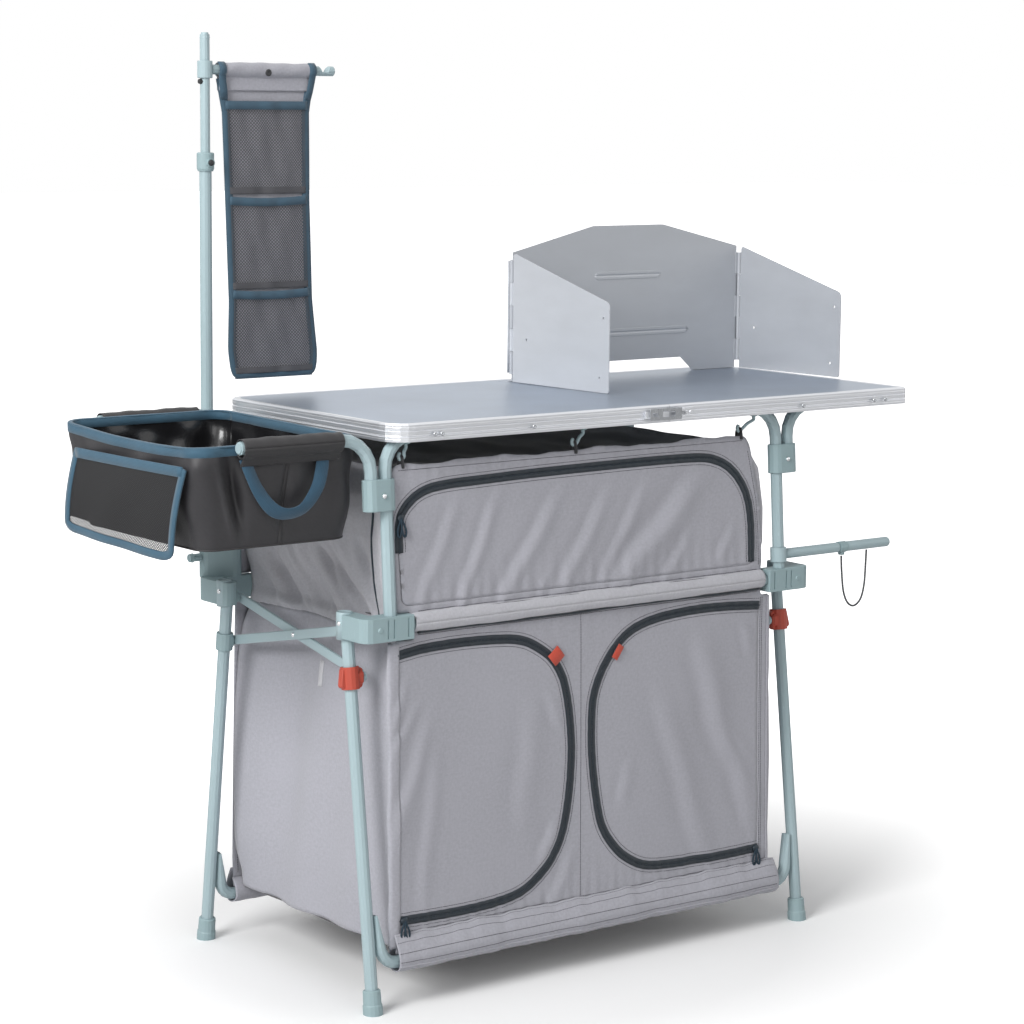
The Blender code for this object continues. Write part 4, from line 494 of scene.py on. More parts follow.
# The wind shield: three sheets of zinc-coated steel on long pin hinges. The back sheet carries two
# pressed grooves that keep it flat; the sheet swells by less than a millimetre on both sides of them.
shield_grain = ((1.0, 1.0, 3.0), 12.0, 0.00002, "shield_sheet", 0.02, 0.35)
shield_metal = metal("shield_zinc", srgb(200, 203, 208), 0.46, *shield_grain)
# The back sheet and the right wing, with the ribs and strips on the back, take a darker copy of the same zinc: painted
# shade, for the shade that falls inside the shield.
painted_shade_metal = metal("shield_zinc_dull", srgb(186, 189, 194), 0.50, *shield_grain)
dress(shield_metal, "shield_wing_left")
dress(painted_shade_metal, "shield_back", "shield_wing_right")
shield_middle, shield_front, shield_behind = 0.3680 + east, 0.1742, 0.1760
rib_half = np.array([
    (0.0062, -0.0002), (0.0062, 0.0006), (0.0060, 0.0009), (0.0057, 0.0009), (0.0027, 0.0009), (0.0024, 0.0009),
    (0.0014, 0.0005), (0.0004, 0.00008),
])
rib_section = np.concatenate([rib_half, rib_half[::-1] * (-1.0, 1.0)])
for name, half, level in (("short", 0.0687, 0.9810), ("long", 0.1300, 0.8890)):
    reach = np.linspace(-half, half, 41)
    full = np.clip((half - np.abs(reach)) / 0.006, 0.02, 1.0) ** 0.5
    path = put(shield_middle + reach, shield_front, level)
    swept(f"shield_rib_{name}", path, rib_section, -rear, "back_frame", painted_shade_metal, full)

# The hinges' cover strips: narrow flats of the same sheet, spot-welded behind the back panel's edges,
# which close the slots beside the wings' barrels.
back_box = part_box("shield_back")
strip_flat = np.array([(0.0055, -0.0003), (0.0055, 0.0003), (-0.0055, 0.0003), (-0.0055, -0.0003)])
for name, middle in (("left", back_box[0][0] + 0.0045), ("right", back_box[1][0] - 0.0045)):
    path = put(middle, shield_behind, back_box[0][2] + np.linspace(0.014, 0.189, 5))
    swept(f"hinge_strip_{name}", path, strip_flat, -rear, "back_frame", painted_shade_metal)


# The organiser: a strip of grey polyester bound in dark blue tape, folded over the arm and closed
# with a snap, with three pockets of knitted net whose tops are taped and whose feet are doubled.
def woven(name, colour, thread, heather, slot, slub=0.011, rough=0.86, sheen=0.25):
    """Plain weave: crossed waves a thread apart give height, noise drawn out both ways gives the mixed yarns' tone."""
    material, tree, shader = started(name, slot)
    place = node(tree, "UVMap")[0]
    yarns, threads = [], []
    for along, direction in (((1.0 / slub, 0.35 / thread, 1.0), "X"), ((0.35 / thread, 1.0 / slub, 1.0), "Y")):
        yarns.append(noise(tree, node(tree, "Mapping", {"Vector": place, "Scale": along})[0], 1.0, 3.0))
        threads.append(waves(tree, place, thread, 0.8, {"Detail": 1.0}, bands_direction=direction))
    level = ranged(tree, both(tree, "ADD", *yarns), 0.75, 1.25)
    tone = mixed(tree, level, shade(colour, 1.0 - heather), shade(colour, 1.0 + heather))
    cloud = noise(tree, place, 7.0, 4.0)
    fill(tree, shader, {
        "Base Color": mixed(tree, ranged(tree, cloud, 0.45, 0.75, 0.0, 0.45), tone, shade(colour, 1.10)),
        "Roughness": ranged(tree, cloud, 0.0, 1.0, rough - 0.06, rough + 0.06),
        "Normal": relief(tree, both(tree, "MAXIMUM", *threads), 0.35, thread * 0.22),
        "Sheen Weight": sheen, "Sheen Roughness": 0.5,
    })
    return material


def thickened(made, thick):
    """Gives a sheet its cloth's thickness, half of it on each side."""
    shell = made.modifiers.new("cloth", "SOLIDIFY")
    shell.thickness = thick
    shell.offset = 0.0
    return made


def surface(name, points, body, finish, thick, back=False):
    """A sheet through a table of points (rows, columns, 3), faced to its left. Its UV is metres over and down."""
    rows, columns = points.shape[:2]
    i, j = np.meshgrid(np.arange(rows - 1), np.arange(columns - 1), indexing="ij")
    k = i * columns + j
    quads = np.stack([k, k + 1, k + columns + 1, k + columns], -1).reshape(-1, 4)
    down, over = (
        np.cumsum(np.linalg.norm(np.diff(points, axis=way, prepend=points.take([0], axis=way)), axis=2), axis=way)
        for way in (0, 1)
    )
    uv = np.stack([over, down], axis=-1)
    return thickened(piece(name, points, [quads[:, ::-1] if back else quads], body, finish, uv), thick)


def net(name, place, wide, tall, cell, strand, body, finish):
    """Knitted net: each cell of a diamond grid is four narrow faces round its hole. place(s, t) sets them in space."""
    across, down = int(wide / cell), int(tall / cell * 2)
    i, j = np.meshgrid(np.arange(across), np.arange(down), indexing="ij")
    middle = np.stack([(i + 0.25 + 0.5 * (j % 2)) * cell, (j + 0.5) * cell / 2.0], axis=-1).reshape(-1, 1, 2)
    reach = np.array([(0.5, 0.0), (0.0, 0.5), (-0.5, 0.0), (0.0, -0.5)]) * cell
    flat = np.concatenate([middle + reach, middle + reach * (1.0 - 2.0 * strand)], axis=1).reshape(-1, 2)
    flat = np.clip(flat, 0.0, (wide, tall))
    flat, same = np.unique(np.round(flat, 6), axis=0, return_inverse=True)
    k = np.arange(len(middle))[:, None, None] * 8
    quads = same.ravel()[(k + np.array([(0, 1, 5, 4), (1, 2, 6, 5), (2, 3, 7, 6), (3, 0, 4, 7)])[None]).reshape(-1, 4)]
    return piece(name, place(flat[:, 0] / wide, flat[:, 1] / tall), [quads], body, finish, flat)



def banded(path, wide, thick, name, lift, body, finish, slack=0.0):
    """A flat tape with rounded edges, carried along a path."""
    w, t = wide / 2.0, thick / 2.0
    section = np.array([
        (w, 0.0), (w * 0.94, t), (0.0, t * 1.06), (-w * 0.94, t), (-w, 0.0), (-w * 0.94, -t), (0.0, -t), (w * 0.94, -t),
    ])
    return swept(name, path, section, lift, body, finish, slack=slack)


def ribbed(name, colour, rib, slot, rough=0.72):
    """Woven tape: fine ribs across its length, finer waves along it, and noise for a little fading."""
    material, tree, shader = started(name, slot)
    place = node(tree, "UVMap")[0]
    ribs = waves(tree, place, rib, 0.5, bands_direction="Y")
    yarn = both(tree, "MULTIPLY", ribs, waves(tree, place, rib * 0.8, 0.3))
    level = ranged(tree, both(tree, "ADD", yarn, noise(tree, place, 45.0, 5.0)), 0.3, 1.3)
    fill(tree, shader, {
        "Base Color": mixed(tree, level, shade(colour, 0.78), shade(colour, 1.16)),
        "Normal": relief(tree, yarn, 0.5, rib * 0.25), "Roughness": rough, "Sheen Weight": 0.2,
    })
    return material


grey_cloth = woven("grey_oxford", srgb(167, 167, 175), 0.0011, 0.07, "grey_cloth", 0.006)
dark_net = braided("dark_net_yarn", srgb(98, 98, 102), 0.0012, "dark_cloth")
blue_tape = ribbed("blue_binding", srgb(60, 88, 106), 0.0013, "dark_cloth")
strip_left, strip_wide, strip_y, strip_top, strip_foot = -0.374 + east, 0.160, 0.2220, 1.298, 0.841
strip_lap, tape_proud = 0.012, 0.0012


def strip_point(s, t, proud):
    """A point of the strip's front, proud of its middle: s runs between its two wavering edges, t down from the arm."""
    left = np.interp(t, [0.0, 0.11, 0.41, 0.74, 0.90, 1.0], [-0.3690, -0.3590, -0.3535, -0.3470, -0.3490, -0.3430])
    right = np.interp(t, [0.0, 0.11, 0.41, 0.74, 0.92, 1.0], [-0.2125, -0.2210, -0.2210, -0.2155, -0.2060, -0.2080])
    sway = 0.0030 * np.sin(5.1 * t + 0.6) * t + 0.0035 * (s - 0.5) * np.sin(3.2 * t - 0.4)
    z = strip_top - strip_lap - t * (strip_top - strip_lap - strip_foot - 0.004)
    return put(left + s * (right - left) + sway * 0.4 + east, strip_y - proud, z)


s, t = np.meshgrid(np.linspace(0.0, 1.0, 33), np.linspace(0.0, 1.0, 90))
backing = surface("organiser_backing", strip_point(s, t, 0.0), "organiser", grey_cloth, 0.0012, back=True)
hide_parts("organiser")

# The top of the strip goes round the arm and back down behind itself
s, turn = np.meshgrid(np.linspace(0.0, 1.0, 33), np.linspace(-0.42 * np.pi, 1.42 * np.pi, 41))
over = 0.0102 + 0.0007 * np.sin(17.0 * s + 2.0 * turn) * np.sin(3.0 * np.pi * s)
hem_x = strip_left + 0.0030 + s * (strip_wide - 0.002)
loop = put(hem_x, strip_y + over * np.cos(turn), strip_top + over * np.sin(turn))
tail = np.linspace(0.0, 1.0, 9)[1:, None, None]
front_tail, back_tail = (
    end + tail * (put(hem_x[0], strip_y + behind, strip_top - 0.030) - end)
    for end, behind in ((loop[-1], -0.0034), (loop[0], 0.0022))
)
loop = np.concatenate([back_tail[::-1], loop, front_tail])
top_loop = surface("organiser_top_loop", loop, "organiser", grey_cloth, 0.0011)
snap_shape = turned_shape([
    (0.0052, -0.0008), (0.0053, 0.0003), (0.0046, 0.0011), (0.0024, 0.0013), (0.0019, 0.0008), (0.0005, 0.0008),
], 20)
snap_place = (-0.2905 + east, strip_y - 0.0102, 1.2945)
snap = strewn("organiser_snap", snap_shape, snap_place, right, -rear, "organiser", black_moulding)
strip_pieces = [top_loop, snap]

# Binding down both sides and round the foot, then the pockets
side_t = np.linspace(0.0, 0.955, 44)
left_edge, right_edge = (strip_point(s, side_t, tape_proud) for s in (0.0, 1.0))
foot_edge = strip_point(np.linspace(0.04, 0.96, 24), 0.985, tape_proud)
left_turn = smooth([left_edge[-1], strip_point(0.012, 0.976, tape_proud), foot_edge[0]], 4)[1:-1]
right_turn = smooth([foot_edge[-1], strip_point(0.988, 0.976, tape_proud), right_edge[-1]], 4)[1:-1]
edge = np.concatenate([left_edge, left_turn, foot_edge, right_turn, right_edge[::-1]])
strip_pieces.append(banded(edge, 0.0125, 0.0034, "organiser_binding", -rear, "organiser", blue_tape))
for hand, s in (("left", 0.0), ("right", 1.0)):
    turn = np.linspace(0.62 * np.pi, 1.22 * np.pi, 19)
    x = strip_point(s, 0.0, 0.0)[0]
    wrap = put(x, strip_y + 0.0115 * np.cos(turn), strip_top + 0.0115 * np.sin(turn))
    fore, below = np.array([(0.0072, 0.018), (0.0060, 0.030), (0.0034, 0.042)]).T
    edge_x = strip_point(s, (below - strip_lap) / 0.441, 0.0)[:, 0]
    wrap = np.concatenate([wrap, put(edge_x, strip_y - fore, strip_top - below)])
    out = unit(wrap - (x, strip_y, strip_top))
    strip_pieces.append(banded(wrap, 0.0115, 0.0024, f"organiser_shoulder_{hand}", out, "organiser", blue_tape))
for k, (high, low) in enumerate(((0.076, 0.382), (0.391, 0.699), (0.704, 0.982))):
    def pocket(s, t, proud=0.0030, high=high, low=low, k=k):
        """A pocket's front: it stands forward in its middle and gathers in slanting folds."""
        full = 0.25 + 0.75 * np.sin(np.pi * np.clip(0.12 + 0.80 * t, 0, 1))
        belly = np.sin(np.pi * np.clip(s, 0.0, 1.0)) ** 0.6 * full
        gathers = 0.0020 * np.sin(15.0 * s + 5.0 * t + 2.1 * k) + 0.0014 * np.sin(27.0 * s - 7.0 * t + k)
        point = strip_point(s, high + (low - high) * t + 0.006 * np.sin(np.pi * s) * (1.0 - t) * (k > 0), proud)
        point[..., 1] -= 0.0042 * belly + gathers * belly
        return point

    tall, s = 0.445 * (low - high), np.linspace(0.0, 1.0, 30)
    foot = pocket(*np.meshgrid(s, np.linspace(0.925, 1.0, 5)), 0.0024)
    strip_pieces += [
        net(f"organiser_net_{k + 1}", pocket, 0.151, tall, 0.0050, 0.155, "organiser", dark_net),
        banded(pocket(s, 0.04), 0.0125, 0.0022, f"organiser_hem_{k + 1}", -rear, "organiser", blue_tape),
        surface(f"organiser_foot_{k + 1}", foot, "organiser", dark_net, 0.0009, back=True),
    ]
for thing in [backing] + strip_pieces:
    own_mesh(thing)


# The fabric cupboard's front: two panels of grey oxford cloth sewn to sleeves on the middle and the
# bottom rail. Three doors are cut in them; the cloth is pulled tight and creased towards its seams.
def rounded(corners, radii, closed=True, steps=8):
    """A line through corners, each replaced by an arc of its radius that touches both sides."""
    corners = np.asarray(corners, dtype=float)
    out, count = [], len(corners)
    for k, (here, radius) in enumerate(zip(corners, radii)):
        if radius <= 0.0 or (not closed and k in (0, count - 1)):
            out.append(here[None])
            continue
        one, two = unit(corners[k - 1] - here), unit(corners[(k + 1) % count] - here)
        half = math.acos(float(np.clip(one @ two, -1.0, 1.0))) / 2.0
        reach = radius / math.tan(half)
        centre = here + unit(one + two) * radius / math.sin(half)
        a, b = here + one * reach - centre, here + two * reach - centre
        swing = math.pi - 2.0 * half
        t = np.linspace(0.0, 1.0, steps + 1)[:, None]
        out.append(centre + (np.sin((1.0 - t) * swing) * a + np.sin(t * swing) * b) / math.sin(swing))
    return np.vstack(out)


def spaced(line, gap):
    """A line cut into equal steps of about gap."""
    run = lengths(line)
    at = np.linspace(0.0, run[-1], max(int(round(run[-1] / gap)), 2) + 1)
    return np.stack([np.interp(at, run, line[:, k]) for k in range(line.shape[1])], axis=1)


def beside(line, by):
    """A flat line moved to its left by a distance."""
    forward = unit(np.gradient(line, axis=0))
    return line + np.stack([-forward[:, 1], forward[:, 0]], axis=1) * by


def inside(points, loop):
    """Whether each point lies in a closed outline: an odd number of its edges lies to the right."""
    a, b = loop[None], np.roll(loop, -1, axis=0)[None]
    x, y = points[:, :1], points[:, 1:]
    spans = (a[..., 1] > y) != (b[..., 1] > y)
    rise = np.where(np.abs(b[..., 1] - a[..., 1]) < 1e-12, 1e-12, b[..., 1] - a[..., 1])
    return (spans & (x < a[..., 0] + (y - a[..., 1]) * (b[..., 0] - a[..., 0]) / rise)).sum(axis=1) % 2 == 1


def nearest(points, line):
    """Each point's distance from a line, and how far along the line the nearest place is."""
    a, step = line[None, :-1], np.diff(line, axis=0)[None]
    size = np.maximum((step ** 2).sum(-1), 1e-16)
    t = np.clip(((points[:, None] - a) * step).sum(-1) / size, 0.0, 1.0)
    gap = np.linalg.norm(points[:, None] - a - t[..., None] * step, axis=-1)
    best = gap.argmin(axis=1)
    rows = np.arange(len(points))
    run = np.concatenate([[0.0], np.cumsum(np.sqrt(size[0]))])
    return gap[rows, best], run[best] + t[rows, best] * np.sqrt(size[0, best])


def cut_cloth(outline, holes, pitch):
    """A flat sheet cut to an outline with holes: a grid of points joined to the cut edges by Delaunay triangles."""
    loops = [spaced(np.vstack([loop, loop[:1]]), pitch)[:-1] for loop in [outline] + holes]
    low, high = outline.min(axis=0), outline.max(axis=0)
    u, v = np.meshgrid(np.arange(low[0], high[0], pitch), np.arange(low[1], high[1], pitch * 0.87))
    u[1::2] += pitch / 2.0
    grid = np.stack([u.ravel(), v.ravel()], axis=1)
    keep = inside(grid, loops[0])
    for k, loop in enumerate(loops):
        if k:
            keep &= ~inside(grid, loop)
        keep &= nearest(grid, np.vstack([loop, loop[:1]]))[0] > pitch * 0.45
    points = np.vstack(loops + [grid[keep]])
    start = np.cumsum([0] + [len(loop) for loop in loops])
    edges = [(int(a + k), int(a + (k + 1) % (b - a))) for a, b in zip(start[:-1], start[1:]) for k in range(b - a)]
    made = geometry.delaunay_2d_cdt([Vector(p) for p in points], edges, [], 0, 1e-7)
    flat, faces = np.array([tuple(p) for p in made[0]]), np.array(made[2], dtype=np.int32)
    middle = flat[faces].mean(axis=1)
    keep = inside(middle, loops[0])
    for loop in loops[1:]:
        keep &= ~inside(middle, loop)
    return flat, faces[keep]


def folds(flat, table):
    """Long creases: a ridge beside a shallower valley across each line, fading past both of its ends."""
    out = np.zeros(len(flat))
    for u0, v0, u1, v1, wide, high in table:
        line = np.array([u1 - u0, v1 - v0])
        long = float(np.hypot(*line))
        rest = flat - (u0, v0)
        along = rest @ line / long ** 2
        off = (rest[:, 0] * line[1] - rest[:, 1] * line[0]) / long + 0.12 * wide * np.sin(9.0 * along)
        fade = np.exp(-(((along - 0.40) / 0.56) ** 4))
        out += high * fade * (np.exp(-((off / wide) ** 2)) - 0.6 * np.exp(-(((off + 1.3 * wide) / (0.75 * wide)) ** 2)))
    return out


def puckers(flat, line, wave, reach, high, phase=0.0):
    """Small gathers square to a seam, strongest at the seam and gone after reach."""
    gap, run = nearest(flat, line)
    turn = 2.0 * np.pi * run / wave + phase
    return high * (np.sin(turn) + 0.5 * np.sin(0.61 * turn + 1.3)) * np.exp(-gap / reach) * (1.0 - np.exp(-gap / 0.004))


upper_zip = spaced(smooth([
    (0.3040, 0.0300), (0.3053, 0.0620), (0.3046, 0.0980), (0.2985, 0.1300), (0.2845, 0.1560), (0.2635, 0.1765),
    (0.2370, 0.1890), (0.2040, 0.1945), (0.1200, 0.1958), (0.0, 0.1950), (-0.1100, 0.1935), (-0.2000, 0.1910),
    (-0.2500, 0.1895), (-0.2850, 0.1860), (-0.3080, 0.1785), (-0.3250, 0.1670), (-0.3375, 0.1520), (-0.3420, 0.1330),
    (-0.3425, 0.1000),
], 6), 0.004)
left_zip = spaced(smooth([
    (-0.3500, 0.4335), (-0.3055, 0.4388), (-0.2400, 0.4402), (-0.1700, 0.4372), (-0.1330, 0.4312), (-0.1050, 0.4180),
    (-0.0800, 0.3990), (-0.0620, 0.3720), (-0.0525, 0.3400), (-0.0465, 0.3000), (-0.0440, 0.2550), (-0.0480, 0.2000),
    (-0.0570, 0.1520), (-0.0700, 0.1200), (-0.0920, 0.0920), (-0.1300, 0.0670), (-0.1750, 0.0575), (-0.2480, 0.0548),
    (-0.3500, 0.0570),
], 6), 0.004)
right_zip = spaced(smooth([
    (0.3200, 0.4370), (0.2500, 0.4420), (0.1850, 0.4430), (0.1200, 0.4385), (0.0750, 0.4280), (0.0460, 0.4110),
    (0.0220, 0.3860), (0.0050, 0.3580), (-0.0045, 0.3290), (-0.0072, 0.2900), (-0.0060, 0.2450), (0.0005, 0.1920),
    (0.0110, 0.1440), (0.0310, 0.1110), (0.0580, 0.0860), (0.0960, 0.0680), (0.1500, 0.0620), (0.2000, 0.0605),
    (0.2600, 0.0592), (0.3200, 0.0602),
], 6), 0.004)
upper_door = np.vstack([upper_zip, [(-0.3400, 0.0320), (-0.3330, 0.0260), (0.2980, 0.0260)]])
left_door = left_zip[::-1]
right_door = right_zip

# Where the cloth's planes meet the bottom and the middle rail, how far the posts above lean in, and
# the step of the grid that the panels and doors are cut on
low_y, low_z, mid_y, mid_z, post_lean = 0.21455, 0.065, 0.20609, 0.540, math.radians(4.0)
cloth_step = 0.0062


def upper_slack(flat):
    """How far the upper panel and its door stand off their plane: slanting creases from the zip down to the rail."""
    deep = folds(flat, [
        (-0.3111, 0.0242, -0.2402, 0.1600, 0.0110, 0.0026),
        (-0.2404, 0.0172, -0.1675, 0.1714, 0.0100, 0.0028),
        (-0.2163, 0.0197, -0.2058, 0.0552, 0.0060, 0.0012),
        (-0.1615, 0.0240, -0.0567, 0.1605, 0.0125, 0.0034),
        (-0.0590, 0.0240, 0.0342, 0.1561, 0.0120, 0.0032),
        (0.0128, 0.0221, 0.1063, 0.1659, 0.0110, 0.0028),
        (0.0552, 0.0282, 0.2133, 0.1632, 0.0200, 0.0060),
        (0.1374, 0.0231, 0.1867, 0.0829, 0.0090, 0.0024),
        (0.2395, 0.0369, 0.2723, 0.0861, 0.0090, 0.0020),
        (-0.3343, 0.0266, -0.3154, 0.0583, 0.0060, 0.0012),
        (-0.1339, 0.0238, -0.1206, 0.0447, 0.0055, 0.0011),
        (-0.0998, 0.0230, -0.0797, 0.0558, 0.0060, 0.0013),
    ])
    foot = np.array([(-0.31, 0.020), (0.31, 0.020)])
    top = np.array([(-0.34, 0.222), (0.31, 0.222)])
    near_foot = puckers(flat, foot, 0.023, 0.028, 0.0013) + 0.6 * puckers(flat, foot, 0.011, 0.010, 0.0010, 1.0)
    return deep + near_foot + puckers(flat, top, 0.021, 0.012, 0.0016) + puckers(flat, upper_zip, 0.017, 0.009, 0.0006)


def lower_slack(flat):
    """How far the lower panel and its doors stand off their plane: broad soft waves, and gathers at the seams."""
    u, v = flat.T
    broad = 0.0014 * np.sin(11.0 * u + 2.2 * v) * np.sin(6.3 * v) + 0.0006 * np.sin(23.0 * u - 9.0 * v + 1.0)
    deep = folds(flat, [
        (-0.3502, 0.1830, -0.2919, 0.3400, 0.0140, 0.0020),
        (-0.3069, 0.0964, -0.2806, 0.3004, 0.0120, 0.0014),
        (-0.3564, 0.3355, -0.3333, 0.4017, 0.0070, 0.0011),
        (-0.3567, 0.2978, -0.3146, 0.3618, 0.0080, 0.0013),
        (-0.0659, 0.3052, -0.0863, 0.3503, 0.0100, 0.0014),
        (-0.1270, 0.1822, -0.1107, 0.3369, 0.0200, 0.0014),
        (-0.0945, 0.1114, -0.0699, 0.1574, 0.0100, 0.0016),
        (0.3078, 0.1428, 0.2462, 0.2555, 0.0180, 0.0026),
        (0.2500, 0.2480, 0.2051, 0.4000, 0.0220, 0.0034),
        (0.2122, 0.0831, 0.1245, 0.3300, 0.0200, 0.0026),
        (0.3083, 0.0994, 0.2792, 0.1654, 0.0120, 0.0014),
        (0.3029, 0.2114, 0.2702, 0.2524, 0.0080, 0.0012),
        (0.0530, 0.1731, 0.0641, 0.2311, 0.0120, 0.0012),
        (0.3050, 0.3704, 0.2884, 0.4147, 0.0100, 0.0014),
        (-0.0800, 0.0300, -0.0400, 0.1100, 0.0100, 0.0016),
    ])
    foot = np.array([(-0.36, 0.036), (0.35, 0.036)])
    head = np.array([(-0.36, 0.462), (0.35, 0.462)])
    near = puckers(flat, foot, 0.017, 0.020, 0.0014) + puckers(flat, head, 0.026, 0.016, 0.0010)
    near += puckers(flat, left_zip, 0.015, 0.008, 0.0005) + puckers(flat, right_zip, 0.016, 0.008, 0.0005, 0.8)
    return broad + 1.35 * deep + near


def hung(flat, off, high, hand=-1.0):
    """Points of the upper or lower plane of the front (hand -1) or back (hand 1), standing off it by that much."""
    foot = np.array([east, hand * mid_y, mid_z]) if high else np.array([east, hand * low_y, low_z])
    lean = post_lean if high else math.atan2(low_y - mid_y, mid_z - low_z)
    rise = np.array([0.0, -hand * math.sin(lean), math.cos(lean)])
    out = np.array([0.0, hand * math.cos(lean), math.sin(lean)])
    u, v = flat[..., :1], flat[..., 1:]
    return foot + u * right + v * rise + np.asarray(off)[..., None] * out


lower_cut = np.array([
    (-0.356, 0.0106), (0.340, 0.0106), (0.340, 0.4528), (0.3226, 0.4528), (0.3226, 0.4640), (-0.3226, 0.4640),
    (-0.3226, 0.4528), (-0.356, 0.4528),
])
head_u = np.linspace(0.2940, -0.3400, 90)
head_v = 0.2218 + 0.0017 * np.sin(31.0 * head_u + 1.0)
head_v = head_v + 0.0010 * np.sin(73.0 * head_u) + 0.0006 * np.sin(151.0 * head_u)
upper_cut = np.vstack([
    [(-0.3285, 0.0106), (0.3226, 0.0106), (0.3258, 0.0300), (0.3262, 0.0750)],
    [(0.3236, 0.1240), (0.3172, 0.1600), (0.3077, 0.2060), (0.3020, 0.2170)],
    np.stack([head_u, head_v], axis=1),
    [(-0.3470, 0.2180), (-0.3500, 0.2120), (-0.3500, 0.0172), (-0.3285, 0.0168)],
])


def hung_sheet(name, outline, holes, slack, high, body, hand=-1.0):
    """A panel or door: cut flat, then hung on its plane with its slack."""
    flat, faces = cut_cloth(outline, holes, cloth_step)
    faced = faces if hand < 0 else faces[:, ::-1]
    return thickened(piece(name, hung(flat, slack(flat), high, hand), [faced], body, grey_cloth, flat), 0.0014)


def wider(loop, by):
    """A closed counterclockwise outline moved outward."""
    after, before = np.roll(loop, -1, axis=0), np.roll(loop, 1, axis=0)
    forward = unit(after - before)
    return loop + np.stack([forward[:, 1], -forward[:, 0]], axis=1) * by


def cut_area(outline, *holes):
    """A flat cut's area: half the sum of its corners' cross products, less each hole but for a 7 mm hem round it."""
    x, y = outline.T
    whole = abs((x * np.roll(y, -1) - y * np.roll(x, -1)).sum()) / 2.0
    rims = [np.hypot(*(hole - np.roll(hole, 1, axis=0)).T).sum() * 0.007 for hole in holes]
    return float(whole + sum(rims) - sum(cut_area(hole) for hole in holes))


left_hole, right_hole, upper_hole = (wider(loop, 0.0016) for loop in (left_door, right_door, upper_door))
left_hole[:, 0] = np.maximum(left_hole[:, 0], -0.3503)
right_hole[:, 0] = np.minimum(right_hole[:, 0], 0.3203)
upper_hole[:, 1] = np.maximum(upper_hole[:, 1], 0.0257)
lower_panel = hung_sheet("front_lower_panel", lower_cut, [left_hole, right_hole], lower_slack, False, "front_frame")
upper_panel = hung_sheet("front_upper_panel", upper_cut, [upper_hole], upper_slack, True, "front_frame")
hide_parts("cover_front")
door_cuts = (
    ("door_upper", upper_door, upper_zip, upper_slack, True),
    ("door_lower_left", left_door, left_zip, lower_slack, False),
    ("door_lower_right", right_door, right_zip, lower_slack, False),
)
doors = {name: hung_sheet(name + "_cloth", cut, [], slack, high, name) for name, cut, line, slack, high in door_cuts}
for name, door in doors.items():
    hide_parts(name)


# The zips: a band of dark tape sewn to each side of the cut, its coil between them, a slider with
# two cord-loop pulls, and twin rows of grey stitching in the cloth beside it.
zip_tape = ribbed("zip_tape", srgb(13, 28, 39), 0.0010, "dark_cloth", 0.6)
coil_nylon = coated("zip_coil", srgb(17, 33, 44), 0.42, 1800.0, 0.0001, 0.12, "dark_cloth")
thread = braided("grey_thread", srgb(98, 97, 103), 0.0009, "grey_cloth")
stitch_shape = turned_shape([
    (0.00010, -0.0017), (0.00036, -0.0013), (0.00042, 0.0), (0.00036, 0.0013), (0.00010, 0.0017),
], 6)
tooth_shape = turned_shape([(0.0003, -0.0010), (0.0008, -0.0006), (0.0009, 0.0), (0.0008, 0.0006), (0.0003, 0.0010)], 6)
stitch_step = 0.0037


def stitched(name, line, slack, high, body, hand=-1.0):
    """A row of stitches along a flat line: each is a short spindle of thread half sunk in the cloth."""
    at = spaced(line, stitch_step)
    centre = (at[1:] + at[:-1]) / 2.0
    points = hung(centre, slack(centre) + 0.0008, high, hand)
    forward = hung(at[1:], slack(at[1:]), high, hand) - hung(at[:-1], slack(at[:-1]), high, hand)
    return strewn(name, stitch_shape, points, hand * rear, forward, body, thread)


zip_parts = {name: [] for name in doors}
panel_parts = {False: [], True: []}
for name, cut, line, slack, high in door_cuts:
    left = beside(line, 0.004)
    inward = 1.0 if inside(left[len(left) // 2][None], cut)[0] else -1.0
    for side, body, parts in ((inward, name, zip_parts[name]), (-inward, "front_frame", panel_parts[high])):
        end = f"{name}_{body}"
        tape = beside(line, side * 0.0034)
        on_cloth = hung(tape, slack(tape) + 0.0012, high)
        parts.append(banded(on_cloth, 0.0066, 0.0010, f"zip_tape_{end}", -rear, body, zip_tape))
        row = spaced(beside(line, side * 0.0004), 0.0024)
        teeth = hung(row, slack(row) + 0.0014, high)
        along = np.gradient(teeth, axis=0)
        parts.append(strewn(f"zip_teeth_{end}", tooth_shape, teeth, along, (0.0, -1.0, 0.05), body, coil_nylon))
        parts.append(stitched(f"zip_stitches_{end}", beside(line, side * 0.0105), slack, high, body))

